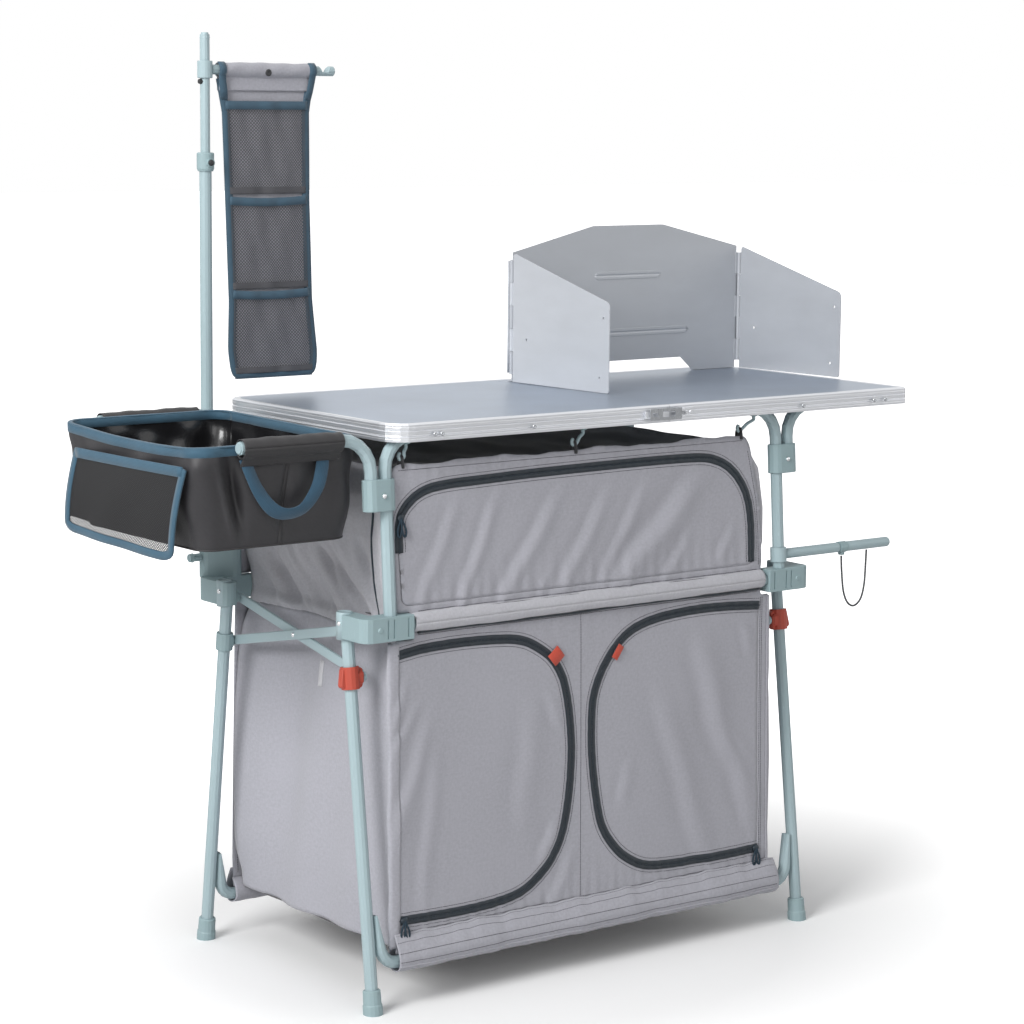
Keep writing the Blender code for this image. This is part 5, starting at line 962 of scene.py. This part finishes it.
# Sliders and pulls: a moulded slider at the closed end of each zip, with two cord loops through it.
# A folded red tag beside each lower zip shows where a hand goes in.
red_tape = ribbed("red_tag", srgb(196, 74, 54), 0.0012, "red_plastic")
pull_cord = braided("zip_pull_cord", srgb(36, 56, 70), 0.0009, "dark_cloth")
pull_shape = np.array([
    (0.0, 0.0), (0.35, -0.006), (0.75, -0.017), (0.35, -0.0245), (-0.35, -0.0245), (-0.75, -0.016), (-0.35, -0.005),
    (0.0, 0.0006),
])
for name, place, turn, slack, high in (
    ("upper", (-0.3400, 0.1480), -1.85, upper_slack, True),
    ("lower_left", (-0.3430, 0.0568), 3.10, lower_slack, False),
    ("lower_right", (0.3150, 0.0602), 0.03, lower_slack, False),
):
    at = np.array([place])
    run = np.linspace(-0.0062, 0.0062, 13)
    flat = at + run[:, None] * (math.cos(turn), math.sin(turn))
    waist = np.clip(1.06 - (run / 0.0080) ** 2 * 1.1, 0.25, 1.0)
    line = hung(flat, slack(at) + 0.0036, high)
    slider = swept(f"zip_slider_{name}", line, oval(0.0108, 0.0056), -rear, "front_frame", coil_nylon, waist)
    panel_parts[high].append(slider)
    for k, drift in enumerate((-0.0042, 0.0046)):
        aside, drop = pull_shape.T
        line = at + np.stack([aside * 0.0042 + drift * np.clip(-drop / 0.02, 0, 1), drop], axis=1)
        proud = slack(at)[0] + 0.0052 + 0.0006 * k
        loop = smooth(hung(line, np.full(len(line), proud), high), 5)
        pull = swept(f"zip_pull_{name}_{k + 1}", loop, oval(0.0030, 0.0026, 8), -rear, "front_frame", pull_cord)
        panel_parts[high].append(pull)

for name, body, here, way, long, wide in (
    ("left", "front_frame", (-0.0740, 0.4030), (0.76, 0.65), 0.0215, 0.0210),
    ("right", "door_lower_right", (0.0405, 0.3960), (0.82, -0.57), 0.0100, 0.0230),
):
    run = np.linspace(-0.5, 0.5, 9)
    flat = here + np.outer(run * long, unit(np.array(way)))
    proud = lower_slack(flat) + 0.0030 + 0.0010 * np.cos(3.0 * run)
    tag = banded(hung(flat, proud, False), wide, 0.0026, f"door_tag_{name}", -rear, body, red_tape)
    (panel_parts[False] if body == "front_frame" else zip_parts[body]).append(tag)

# Seams of the front: down the middle, down both bound edges and along the top
for name, line, slack, high in (
    ("middle", [(-0.0270, 0.030), (-0.0262, 0.240), (-0.0270, 0.4600)], lower_slack, False),
    ("low_left", [(-0.3525, 0.030), (-0.3525, 0.4500)], lower_slack, False),
    ("low_left_inner", [(-0.3485, 0.066), (-0.3485, 0.4240)], lower_slack, False),
    ("low_right", [(0.3265, 0.030), (0.3265, 0.4500)], lower_slack, False),
    ("low_right_inner", [(0.3228, 0.030), (0.3228, 0.4500)], lower_slack, False),
    ("high_right", [(0.3195, 0.024), (0.3195, 0.075), (0.3170, 0.124), (0.3030, 0.198)], upper_slack, True),
    ("high_top", [(-0.3400, 0.2135), (0.2920, 0.2145)], upper_slack, True),
    ("high_foot", [(-0.3160, 0.0175), (0.3160, 0.0175)], upper_slack, True),
    ("low_head", [(-0.3160, 0.4590), (0.3160, 0.4590)], lower_slack, False),
    ("low_foot", [(-0.3480, 0.0400), (0.3320, 0.0400)], lower_slack, False),
):
    panel_parts[high].append(stitched(f"seam_{name}", np.array(line), slack, high, "front_frame"))

# The corner folds: the panel's side edges, turned round the frame and rucked a little along it
fold_at = [0.0, 0.20, 0.45, 0.62, 0.80, 1.0]
for hand, edge_u, way, share in (("left", -0.3545, -1.0, 1.0), ("right", 0.3385, 1.0, 0.35)):
    s, v = np.meshgrid(np.linspace(0.0, 1.0, 15), np.linspace(0.0190, 0.4505, 90))
    reach = np.interp(s, fold_at, [-0.0060, 0.0000, 0.0085, 0.0110, 0.0075, -0.0010]) * share
    back_off = np.interp(s, fold_at, [0.0012, 0.0014, 0.0004, -0.0030, -0.0085, -0.0125])
    ruck = 0.0011 * np.sin(37.0 * v + 0.6) + 0.0007 * np.sin(91.0 * v + 2.0)
    flat = np.stack([edge_u + way * (reach + ruck * s), v], axis=-1)
    slack = lower_slack(flat.reshape(-1, 2)).reshape(v.shape) * (1.0 - s)
    band = hung(flat, back_off + slack, False)
    band = surface(f"corner_fold_{hand}", band, "front_frame", grey_cloth, 0.0012, back=hand == "left")
    panel_parts[False].append(band)


# The rail sleeves: the same cloth turned round the middle and the bottom rail. The middle one has a
# free flap below it; the bottom one is a deep skirt, quilted along and drawn up in small wrinkles.
# The middle rolls take a lighter copy of the grey oxford: painted light, for the light on each roll's upturned face.
painted_light_sleeve_cloth = woven("grey_oxford_double", srgb(184, 184, 190), 0.0011, 0.06, "grey_cloth", 0.006)
skirt_y, skirt_z = 0.2155, 0.0720


def rail_sleeve(hand, body):
    """The middle sleeve: a soft oval roll of the lighter, painted-light cloth with shallow dents, thread along its head
    and a thin dark strip under it.
    """
    x, a = np.meshgrid(np.linspace(-0.3255, 0.3235, 170), np.linspace(0.0, 2.0 * np.pi, 25), indexing="ij")
    end = np.clip((0.3250 - np.abs(x + 0.001)) / 0.008, 0.0, 1.0) ** 0.5
    dents = 0.0005 * np.sin(21.0 * x + np.sin(a)) + 0.0003 * np.sin(57.0 * x + a) + 0.0002 * np.sin(131.0 * x - 2.0 * a)
    r = 0.0118 + 0.0010 * end + dents
    roll = put(x + east, hand * (mid_y + 0.95 * r * np.cos(a)), 0.5420 + 1.05 * r * np.sin(a))
    tube = surface(f"mid_sleeve_{body}", roll, body, painted_light_sleeve_cloth, 0.0012, back=hand > 0)
    where = put(np.arange(-0.3200, 0.3200, stitch_step) + east, hand * 0.2100, 0.5548)
    seam = strewn(f"mid_sleeve_seam_{body}", stitch_shape, where, (0.0, hand, 0.8), right, body, thread)
    x = np.linspace(-0.3180, 0.3180, 120)
    line = put(x + east, hand * 0.2108, 0.5281 + 0.0005 * np.sin(17.0 * x) + 0.0003 * np.sin(47.0 * x))
    return [tube, seam, swept(f"mid_cord_{body}", line, oval(0.0046, 0.0036, 10), up, body, zip_tape)]


def skirt_point(x, s, hand, lift=0.0):
    """A point of the skirt: s runs from its top seam down the front, under the rail and up the back."""
    line = smooth([
        (0.2158, 0.1045), (0.2212, 0.0955), (0.2278, 0.0840), (0.2318, 0.0715), (0.2290, 0.0585), (0.2205, 0.0525),
        (0.2100, 0.0535), (0.2020, 0.0600), (0.2008, 0.0700), (0.2050, 0.0810), (0.2118, 0.0900),
    ], 6)
    at = np.linspace(0.0, 1.0, len(line))
    y, z = np.interp(s, at, line[:, 0]), np.interp(s, at, line[:, 1])
    slant = x + 0.35 * (z - 0.08)
    fine = 0.0009 * np.sin(118.0 * slant) * (0.4 + 0.6 * np.sin(13.0 * x + 1.0) ** 2)
    fine = fine + 0.0005 * np.sin(203.0 * slant + 9.0 * s)
    fine = fine + 0.0010 * np.sin(61.0 * slant + 4.0 + 2.0 * np.sin(7.0 * x))
    big = 0.0016 * np.sin(24.0 * x + 5.0 * s) * np.sin(np.pi * np.clip(s * 2.0, 0.0, 1.0))
    puff = fine * (0.4 + 0.6 * np.exp(-((s - 0.05) / 0.12) ** 2)) + big + lift
    away = unit(np.stack([y - skirt_y, z - skirt_z], -1))
    return put(x + east, hand * (y + puff * away[..., 0]), z + puff * away[..., 1])


def rail_skirt(hand, body):
    """The bottom sleeve with its quilting rows and its piping."""
    x, s = np.meshgrid(np.linspace(-0.3600, 0.3520, 240), np.linspace(0.0, 1.0, 34), indexing="ij")
    rows = [surface(f"skirt_{body}", skirt_point(x, s, hand), body, grey_cloth, 0.0014, back=hand < 0)]
    x = np.arange(-0.357, 0.349, stitch_step)
    for k, level in enumerate((0.035, 0.120, 0.235, 0.330)):
        where = skirt_point(x, level, hand, 0.0008)
        out = where - put(x + east, hand * skirt_y, skirt_z)
        rows.append(strewn(f"skirt_seam_{k + 1}_{body}", stitch_shape, where, out, right, body, thread))
    piping = skirt_point(np.linspace(-0.3600, 0.3520, 200), 0.375, hand, 0.0012)
    rows.append(swept(f"skirt_piping_{body}", piping, oval(0.0026, 0.0026, 8), up, body, grey_cloth))
    return rows


front_rows = rail_sleeve(-1.0, "front_frame") + rail_skirt(-1.0, "front_frame")
cut_area(lower_cut, left_hole, right_hole)
cut_area(upper_cut, upper_hole)
for name, size, cut in (
    ("door_upper", (0.648, 0.170), upper_door),
    ("door_lower_left", (0.306, 0.386), left_door),
    ("door_lower_right", (0.328, 0.384), right_door),
):
    cut_area(cut)


# The back of the cupboard is one plain run of the same cloth on its own sleeves.
def back_slack(flat):
    """Soft vertical waves with gathers at the head and the foot."""
    u, v = flat.T
    wave = 0.0020 * np.sin(13.0 * u + 3.0 * v) + 0.0012 * np.sin(29.0 * u - 6.0 * v)
    low, high = flat[:, 1].min(), flat[:, 1].max()
    ends = [puckers(flat, np.array([(-0.36, y), (0.36, y)]), 0.021, 0.018, 0.0012, y * 9.0) for y in (low, high)]
    return wave * np.clip((v - low) * (high - v) * 60.0, 0.0, 1.0) + ends[0] + ends[1]


back_low = hung_sheet("back_lower_panel", lower_cut, [], back_slack, False, "back_frame", 1.0)
back_high = hung_sheet("back_upper_panel", upper_cut, [], back_slack, True, "back_frame", 1.0)
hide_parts("cover_back")
back_rows = rail_sleeve(1.0, "back_frame") + rail_skirt(1.0, "back_frame")
for name, line, high in (
    ("back_middle", [(-0.010, 0.030), (-0.010, 0.4500)], False),
    ("back_left", [(-0.3480, 0.030), (-0.3480, 0.4500)], False),
    ("back_right", [(0.3320, 0.030), (0.3320, 0.4500)], False),
    ("back_top", [(-0.3120, 0.2060), (0.2820, 0.2090)], True),
):
    back_rows.append(stitched(f"seam_{name}", np.array(line), back_slack, high, "back_frame", 1.0))
cut_area(lower_cut)
cut_area(upper_cut)


# The sides, floor, shelf and top: slack cloth between the two frames that folds up with them. The
# sides are drawn in between the legs, pleated aslant above the hem and hanging straight below it.
def post_depth(z):
    """How far front and back the upper posts stand at a height."""
    return 0.2070 - (z - 0.527) * math.tan(post_lean)


def half_depth(z):
    """How far front and back the side cloth reaches at a height: to the leaning panels, less room for the rails."""
    low = low_y - (low_y - mid_y) * (z - low_z) / (mid_z - low_z)
    room = 0.0144 - 0.0118 * np.clip(np.abs(z - 0.538) / 0.030 - 1.0, 0.0, 1.0) * np.clip((z - 0.105) / 0.03, 0.0, 1.0)
    return np.where(z < mid_z, low, post_depth(z)) - room


def folded(made):
    """Gives a piece a mesh of its own."""
    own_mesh(made)
    return made


# The upper side walls take a lighter copy of the grey oxford: painted light, to make up for the shade that the table
# and the basin cast on them.
painted_light_side_cloth = woven("grey_oxford_side", srgb(184, 184, 190), 0.0011, 0.07, "grey_cloth", 0.006)
side_pleats = [
    (-0.0708, 0.5175, -0.1420, 0.6050, 0.0120, -0.0085),
    (-0.0300, 0.5200, -0.0850, 0.6150, 0.0090, 0.0048),
    (0.0911, 0.5300, -0.0046, 0.6300, 0.0150, -0.0105),
    (0.0780, 0.5345, -0.0233, 0.6500, 0.0080, 0.0050),
    (0.0450, 0.5250, -0.0330, 0.6100, 0.0070, 0.0034),
    (0.1180, 0.5350, 0.0954, 0.6500, 0.0100, -0.0060),
    (0.1600, 0.5300, 0.1500, 0.6700, 0.0080, 0.0040),
    (-0.1100, 0.5200, -0.1700, 0.6000, 0.0100, 0.0044),
    (0.0200, 0.5200, -0.0150, 0.5800, 0.0060, 0.0030),
    (-0.0520, 0.6000, -0.0900, 0.7000, 0.0140, 0.0050),
    (0.0600, 0.6200, 0.0200, 0.7300, 0.0130, 0.0055),
]


def side_wall(hand, low, high, name, rows):
    """One side between two heights: its line at rest, a hollow between the legs, folds, and edges turned in."""
    level, reach = np.array([
        (0.078, 0.347), (0.16, 0.356), (0.26, 0.358), (0.36, 0.356), (0.44, 0.350), (0.50, 0.340),
        (0.54, 0.334), (0.59, 0.342), (0.65, 0.345), (0.71, 0.338), (0.748, 0.312),
    ]).T
    turned_in = np.array([0.0110, 0.0060, 0.0025])
    hem = np.concatenate([turned_in, np.zeros(84), turned_in[::-1]])
    z, t = np.meshgrid(np.linspace(low, high, rows), np.pad(np.linspace(-1.0, 1.0, 84), 3, "edge"), indexing="ij")
    y = t * (half_depth(z) - 0.22 * hem)
    x = np.interp(z, level, reach) - hem
    rim = 1.0 - t ** 4
    x = x - 0.016 * (1.0 - t * t) * np.sin(np.pi * np.clip((z - 0.08) / 0.66, 0.0, 1.0))
    x = x - 0.0036 * np.cos(3.0 * np.pi * t + 9.0 * z) * rim
    upper = 1.0 / (1.0 + np.exp(-(z - 0.522) / 0.004))
    flat = np.stack([-y.ravel(), z.ravel()], axis=1)
    pleats = 1.45 * folds(flat, side_pleats).reshape(y.shape) + 0.0008 * np.sin(83.0 * (y - 0.7 * z) + 7.0 * z)
    hollow = -0.0100 * np.exp(-(((y - 0.083) / 0.042) ** 2)) * np.clip((z - 0.12) / 0.12, 0.0, 1.0)
    soft = hollow + 0.0016 * np.sin(19.0 * y + 5.0 * z + 0.8) + 0.0006 * np.sin(47.0 * y - 4.0 * z)
    gather = 0.0016 * np.sin(350.0 * y) * np.exp(-np.abs(z - 0.517) / 0.016)
    bulge = 0.0040 * upper * np.exp(-((z - 0.524) / 0.010) ** 2)
    x = x + (pleats * upper + soft * (1.0 - upper) + gather + bulge) * rim
    points = put(np.where(hand < 0, -x, x - 0.012) + east, y, z)
    # The upper walls take the lighter copy of the cloth, painted light; the lower ones take the plain grey oxford.
    made = surface(name, points, "back_frame", painted_light_side_cloth if high > 0.6 else grey_cloth, 0.0012, back=hand > 0)
    return folded(made)


top_cloth = woven("dark_oxford", srgb(84, 83, 86), 0.0012, 0.10, "dark_cloth", 0.007)
walls = []
for hand, side in ((-1.0, "left"), (1.0, "right")):
    walls.append(side_wall(hand, 0.0790, 0.5170, f"side_{side}_lower", 78))
    walls.append(side_wall(hand, 0.5155, 0.7480, f"side_{side}_upper", 90))
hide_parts("cover_bellows")


def side_line(wall, y, low, high, steps):
    """A line up a side at a constant depth: the wall's nearest grid points, in order of height, kept a little proud."""
    points = np.array([corner.co for corner in wall.data.vertices])
    z = np.linspace(low, high, steps)
    near = np.argmin(((points[None, :, 2] - z[:, None]) ** 2 + (points[None, :, 1] - y) ** 2), axis=1)
    return put(points[near, 0], y, z)


piping = coated("side_piping", srgb(40, 52, 62), 0.6, 1500.0, 0.0001, 0.10, "dark_cloth")
trims = {wall.name: [] for wall in walls}
for hand, wall in ((-1.0, walls[1]), (1.0, walls[3])):
    line = smooth(side_line(wall, -0.1275, 0.5200, 0.7380, 12) + hand * 0.0012 * right, 4)
    cord = swept(f"{wall.name}_piping", line, oval(0.0034, 0.0034, 8), hand * right, "back_frame", piping)
    trims[wall.name].append(folded(cord))
label_cloth = woven("label_satin", srgb(196, 196, 200), 0.0006, 0.03, "grey_cloth", 0.004)
line = side_line(walls[0], 0.0030, 0.4180, 0.4560, 7) - 0.0016 * right
label = banded(line, 0.0100, 0.0008, "side_label", -right, "back_frame", label_cloth)
trims[walls[0].name].append(folded(label))

# The top is drawn up at its six hooks; the floor and the shelf lie on the rails
x, t = np.meshgrid(np.linspace(-0.312, 0.300, 90), np.linspace(-1.0, 1.0, 60), indexing="ij")
drawn_up = sum(np.exp(-((x - at) / 0.055) ** 2) for at in (-0.290, -0.028, 0.270))
tents = drawn_up * np.exp(-((1.0 - np.abs(t)) / 0.35) ** 2)
sag = 0.0105 * (1.0 - t ** 2) * (1.0 - (x / 0.34) ** 4)
ripples = 0.0022 * np.sin(26.0 * x + 6.0 * t) + 0.0016 * np.sin(43.0 * x - 11.0 * t)
ripples = ripples + 0.0009 * np.sin(83.0 * x + 5.0 * t)
z = 0.7500 + 0.0055 * tents - sag + ripples * np.clip((0.31 - np.abs(x + 0.006)) * 20.0, 0.0, 1.0)
points = put(x + east, t * (half_depth(z) + 0.0006), z)
top = folded(surface("cupboard_top", points, "back_frame", top_cloth, 0.0012))
x, t = np.meshgrid(np.linspace(-0.346, 0.334, 60), np.linspace(-1.0, 1.0, 40), indexing="ij")
points = put(x + east, t * 0.1985, 0.0785 + 0.0012 * np.sin(15.0 * x) * np.sin(4.0 * t))
floor_cloth = folded(surface("cupboard_floor", points, "back_frame", top_cloth, 0.0014))
x, t = np.meshgrid(np.linspace(-0.316, 0.304, 60), np.linspace(-1.0, 1.0, 40), indexing="ij")
z = 0.5368 - 0.0024 * (1.0 - t ** 2) * (1.0 - (x / 0.33) ** 2) + 0.0004 * np.sin(40.0 * x + 5.0 * t)
points = put(x + east, t * 0.1880, z)
shelf = folded(surface("cupboard_shelf", points, "back_frame", top_cloth, 0.0014))


# Hooks under the table: a moulded clip on the top tube, a wire hook below it and a black elastic
# loop sewn into the top seam. They hold the cover up.
elastic = ribbed("black_elastic", srgb(38, 38, 41), 0.0010, "elastic_cord")
tube_z = 0.8002
tube_y = post_depth(tube_z)
for hand, body in ((-1.0, "front_frame"), (1.0, "back_frame")):
    tube = (east, hand * tube_y, 0.0)
    for k, (high_x, low_x) in enumerate(((-0.324, -0.331), (-0.012, -0.027), (0.318, 0.291))):
        end = f"{k + 1}_{body}"
        turn = np.linspace(math.radians(35.0), math.radians(-215.0), 25)
        out = put(0.0, hand * np.cos(turn), np.sin(turn))
        clip = 0.0108 * out + (high_x + east, hand * tube_y, tube_z)
        swept(f"cover_clip_{end}", clip, oval(0.0075, 0.0028, 10), out, body, moulded)
        wire = np.array([
            (high_x, 0.0, tube_z - 0.0112), (high_x, 0.0, tube_z - 0.0165), ((high_x + low_x) / 2.0, 0.0012, 0.7785),
            (low_x + 0.0025, 0.0016, 0.7710), (low_x - 0.0030, 0.0010, 0.7680), (low_x - 0.0052, 0.0, 0.7725),
            (low_x - 0.0028, -0.0006, 0.7772),
        ])
        wire = smooth(wire * (1.0, hand, 1.0) + tube, 5)
        swept(f"cover_hook_{end}", wire, oval(0.0052, 0.0052, 8), hand * rear, body, enamel)
        loop = np.array([
            (low_x - 0.0012, 0.0030, 0.7560), (low_x - 0.0020, 0.0026, 0.7650), (low_x - 0.0016, 0.0002, 0.7702),
            (low_x - 0.0012, -0.0030, 0.7650), (low_x - 0.0008, -0.0035, 0.7555),
        ])
        loop = smooth(loop * (1.0, hand, 1.0) + tube, 5)
        banded(loop, 0.0098, 0.0030, f"cover_loop_{end}", right, body, elastic)


# The side basin: a tub of coated polyester with a glossy inside, a blue bound rim, sleeves over both
# arms, a net pocket on its outer end and a webbing handle at the front and the back.
shell_cloth = woven("charcoal_coated", srgb(43, 42, 45), 0.0013, 0.08, "dark_cloth", 0.007, 0.46, 0.06)
liner_film = coated("black_liner", srgb(28, 28, 30), 0.24, 60.0, 0.0011, 0.25, "dark_cloth")
fill(liner_film.node_tree, liner_film.node_tree.nodes["Principled BSDF"], {"Coat Weight": 0.5, "Coat Roughness": 0.12})
trim = ribbed("blue_trim", srgb(50, 87, 108), 0.0013, "dark_cloth")
basin_tape = ribbed("blue_webbing", srgb(38, 75, 98), 0.0016, "dark_cloth")
tub_west, tub_east, tub_top, tub_low, tub_half = -0.656 + east, -0.395 + east, 0.806, 0.661, 0.1782
tub_mid = (tub_west + tub_east) / 2.0


def tub_point(turn, depth, inset=0.0):
    """A point of the tub: turn runs once round from the outer front corner, depth from rim (0) to foot (1)."""
    corners = [(tub_west, -tub_half), (tub_east, -tub_half), (tub_east, tub_half), (tub_west, tub_half)]
    corners = rounded(corners, [0.028] * 4, steps=9)
    corners = np.vstack([corners, corners[:1]])
    run = lengths(corners)
    at = np.mod(turn + 0.5, 1.0) * run[-1]
    wave = 2.0 * np.pi * turn
    x, y = np.interp(at, run, corners[:, 0]), np.interp(at, run, corners[:, 1])
    flare = depth ** 1.7
    west = np.clip((tub_mid - x) / 0.126, -1.0, 1.0)
    south = np.clip(-y / tub_half, -1.0, 1.0)
    x = x + west * (0.024 * (0.6 + 0.4 * west) * flare + inset)
    y = y - y / tub_half * (0.017 * flare + inset)
    belly = np.sin(np.pi * np.clip(depth, 0.0, 1.0))
    dent = (0.0026 * np.sin(8.0 * wave + 4.0 * depth) + 0.0017 * np.sin(18.0 * wave - 7.0 * depth)) * belly
    turned = np.mod(turn, 1.0)
    first = 0.0075 * np.exp(-(((turned - 0.540 - 0.030 * depth) / 0.0065) ** 2))
    second = 0.0085 * np.exp(-(((turned - 0.556 - 0.026 * depth) / 0.008) ** 2))
    dent = dent + (first - second) * belly
    dent = dent + 0.0022 * np.sin(60.0 * turned + 9.0 * depth) * np.exp(-(((depth - 0.18) / 0.14) ** 2))
    aslant = np.exp(-(((x - tub_west - 0.050 - 0.03 * depth) / 0.016) ** 2))
    crease = -0.0060 * belly * np.exp(-(((y + 0.172) / 0.05) ** 2)) * aslant
    crease = crease - 0.0048 * belly * np.exp(-(((x + 0.5115 - east) / 0.006) ** 2)) * (y < 0.0)
    x = x + (x - tub_mid) / 0.126 * dent
    y = y + np.sign(y) * (dent * np.abs(y) / tub_half + crease)
    droop = 0.0060 * (1.0 - south ** 2) * (0.5 + 0.5 * west) + 0.0045 * (0.5 + 0.5 * south)
    z = tub_top - inset * 0.3 - droop * (1.0 - depth) - depth * (tub_top - tub_low)
    return put(x, y, z)


tub_turns = np.linspace(0.0, 1.0, 385)
turn, depth = np.meshgrid(tub_turns, np.linspace(0.0, 1.0, 34), indexing="ij")
shell = surface("basin_shell", tub_point(turn, depth), "basin", shell_cloth, 0.0012)
lined = tub_point(turn, depth * 0.985, 0.0032) + 0.0012 * up
surface("basin_liner", lined, "basin", liner_film, 0.0006, back=True)
for name, depth, inset, rise, rumple, finish in (
    ("basin_base", 1.0, 0.0, 0.0, 0.4, shell_cloth),
    ("basin_base_liner", 0.985, 0.0032, 0.0030, 2.4, liner_film),
):
    edge = tub_point(tub_turns, depth, inset)
    middle = edge[:-1].mean(axis=0)
    share = np.linspace(1.0, 0.02, 18)[None, :, None]
    base = middle + (edge[:, None] - middle) * share
    waved = 0.0016 * np.sin(38.0 * base[..., 0]) * np.sin(31.0 * base[..., 1]) * (1.0 - share[..., 0])
    base[..., 2] += rise + waved * rumple
    surface(name, base, "basin", finish, 0.0008, back=inset > 0)
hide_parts("basin")
rim, low_rim = (tub_point(tub_turns, depth) for depth in (0.0, 0.040))
rim_out = unit(rim - (tub_mid, 0.0, rim[0, 2])) * (1.0, 1.0, 0.0)
banded(low_rim, 0.0128, 0.0016, "basin_rim_tape", rim_out, "basin", trim, slack=rim_out[:, None] * 0.0013)
banded(low_rim, 0.0118, 0.0014, "basin_rim_inside", rim_out, "basin", trim, slack=rim_out[:, None] * -0.0052)
swept("basin_rim_fold", rim + 0.0006 * up - rim_out * 0.0018, oval(0.0078, 0.0030, 10), up, "basin", trim)


# The pocket on the basin's outer end: charcoal net in a blue bound frame, backed with the shell's
# cloth and hanging a little off the tub.
def pocket_point(s, t, proud=0.0):
    """The pocket's face: s runs from its back edge to its front edge, t from its head down."""
    y = (0.128 + 0.022 * t) * (1.0 - s) + (-0.160 + 0.030 * t) * s
    z = (0.7712 * (1.0 - s) + 0.7745 * s) * (1.0 - t) + (0.6600 * (1.0 - s) + 0.6520 * s) * t
    belly = np.sin(np.pi * np.clip(0.08 + 0.80 * t, 0, 1)) * (0.45 + 0.55 * np.sin(np.pi * s))
    x = tub_west - 0.0030 - 0.012 * belly - 0.004 * t - 0.0012 * np.sin(14.0 * s + 3.0 * t) * t - proud
    return put(x, y, z)


pocket_net = braided("charcoal_net_yarn", srgb(42, 42, 44), 0.0012, "dark_cloth")
net("basin_pocket_net", pocket_point, 0.288, 0.112, 0.0040, 0.245, "basin", pocket_net)
s, t = np.meshgrid(np.linspace(0.0, 1.0, 24), np.linspace(0.0, 0.85, 14))
surface("basin_pocket_lining", pocket_point(s, t, -0.0016), "basin", shell_cloth, 0.0006, back=True)
frame_line = rounded([(0.0, 0.0), (0.0, 0.995), (1.0, 0.995), (1.0, 0.0)], [0.0, 0.085, 0.085, 0.0], False)
frame_line = spaced(frame_line, 0.03)
bound, hem = pocket_point(*frame_line.T), pocket_point(np.linspace(0.0, 1.0, 24), 0.035, 0.0012)
banded(bound, 0.0120, 0.0032, "basin_pocket_binding", -right, "basin", trim)
banded(hem, 0.0145, 0.0026, "basin_pocket_hem", -right, "basin", trim)

# Sleeves over the arms, with the seam flap below each, and the handles
black_cloth = woven("black_coated", srgb(40, 39, 41), 0.0012, 0.08, "dark_cloth", 0.007, 0.58, 0.08)
handle_x, handle_z, handle_proud = np.array([
    (-0.5790, 0.7850, 0.0030), (-0.5750, 0.7680, 0.0070), (-0.5620, 0.7400, 0.0100), (-0.5420, 0.7160, 0.0110),
    (-0.5200, 0.7075, 0.0110), (-0.4920, 0.7130, 0.0100), (-0.4700, 0.7370, 0.0090), (-0.4600, 0.7640, 0.0070),
    (-0.4560, 0.7850, 0.0030),
]).T
for hand, side, corner in ((-1.0, "front", 0.635), (1.0, "back", 0.135)):
    x, a = np.meshgrid(np.linspace(-0.5900, -0.4320, 60), np.linspace(0.0, 2.0 * np.pi, 25), indexing="ij")
    r = 0.0120 + 0.0005 * np.sin(90.0 * x) + 0.0003 * np.sin(210.0 * x + 2.0 * a)
    sag = 0.0030 * np.clip(-np.sin(a), 0.0, 1.0)
    pipe = put(x + east, hand * (tube_y + r * np.cos(a)), tube_z + (r + sag) * np.sin(a))
    surface(f"basin_sleeve_{side}", pipe, "basin", black_cloth, 0.0012, back=hand > 0)
    x, t = np.meshgrid(np.linspace(-0.5885, -0.4335, 50), np.linspace(0.0, 1.0, 8), indexing="ij")
    y = hand * (tube_y + 0.0045 - 0.0080 * t + 0.0008 * np.sin(70.0 * x) * t)
    flap = put(x + east, y, 0.7885 - 0.0135 * t)
    surface(f"basin_sleeve_flap_{side}", flap, "basin", black_cloth, 0.0014, back=hand < 0)
    handle = smooth(put(handle_x + east, hand * (tub_half + handle_proud), handle_z), 6)
    twist = np.linspace(0.0, 1.0, len(handle))
    lift = put(0.35 * np.sin(2.0 * np.pi * twist), hand, -0.55 * np.sin(np.pi * twist))
    banded(handle, 0.0190, 0.0018, f"basin_handle_{side}", lift, "basin", basin_tape)
    seam = tub_point(corner, np.linspace(0.06, 0.985, 20)) + hand * 0.0010 * rear
    banded(seam, 0.0056, 0.0018, f"basin_seam_{side}", hand * rear, "basin", black_cloth)
edge = tub_point(tub_turns, 0.99)
swept("basin_foot_piping", edge, oval(0.0034, 0.0034, 8), up, "basin", black_cloth)
for thing in list(bpy.data.objects):
    if thing.name.startswith("basin_") and thing.get("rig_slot") and thing.name not in frame["nodes"]:
        folded(thing)
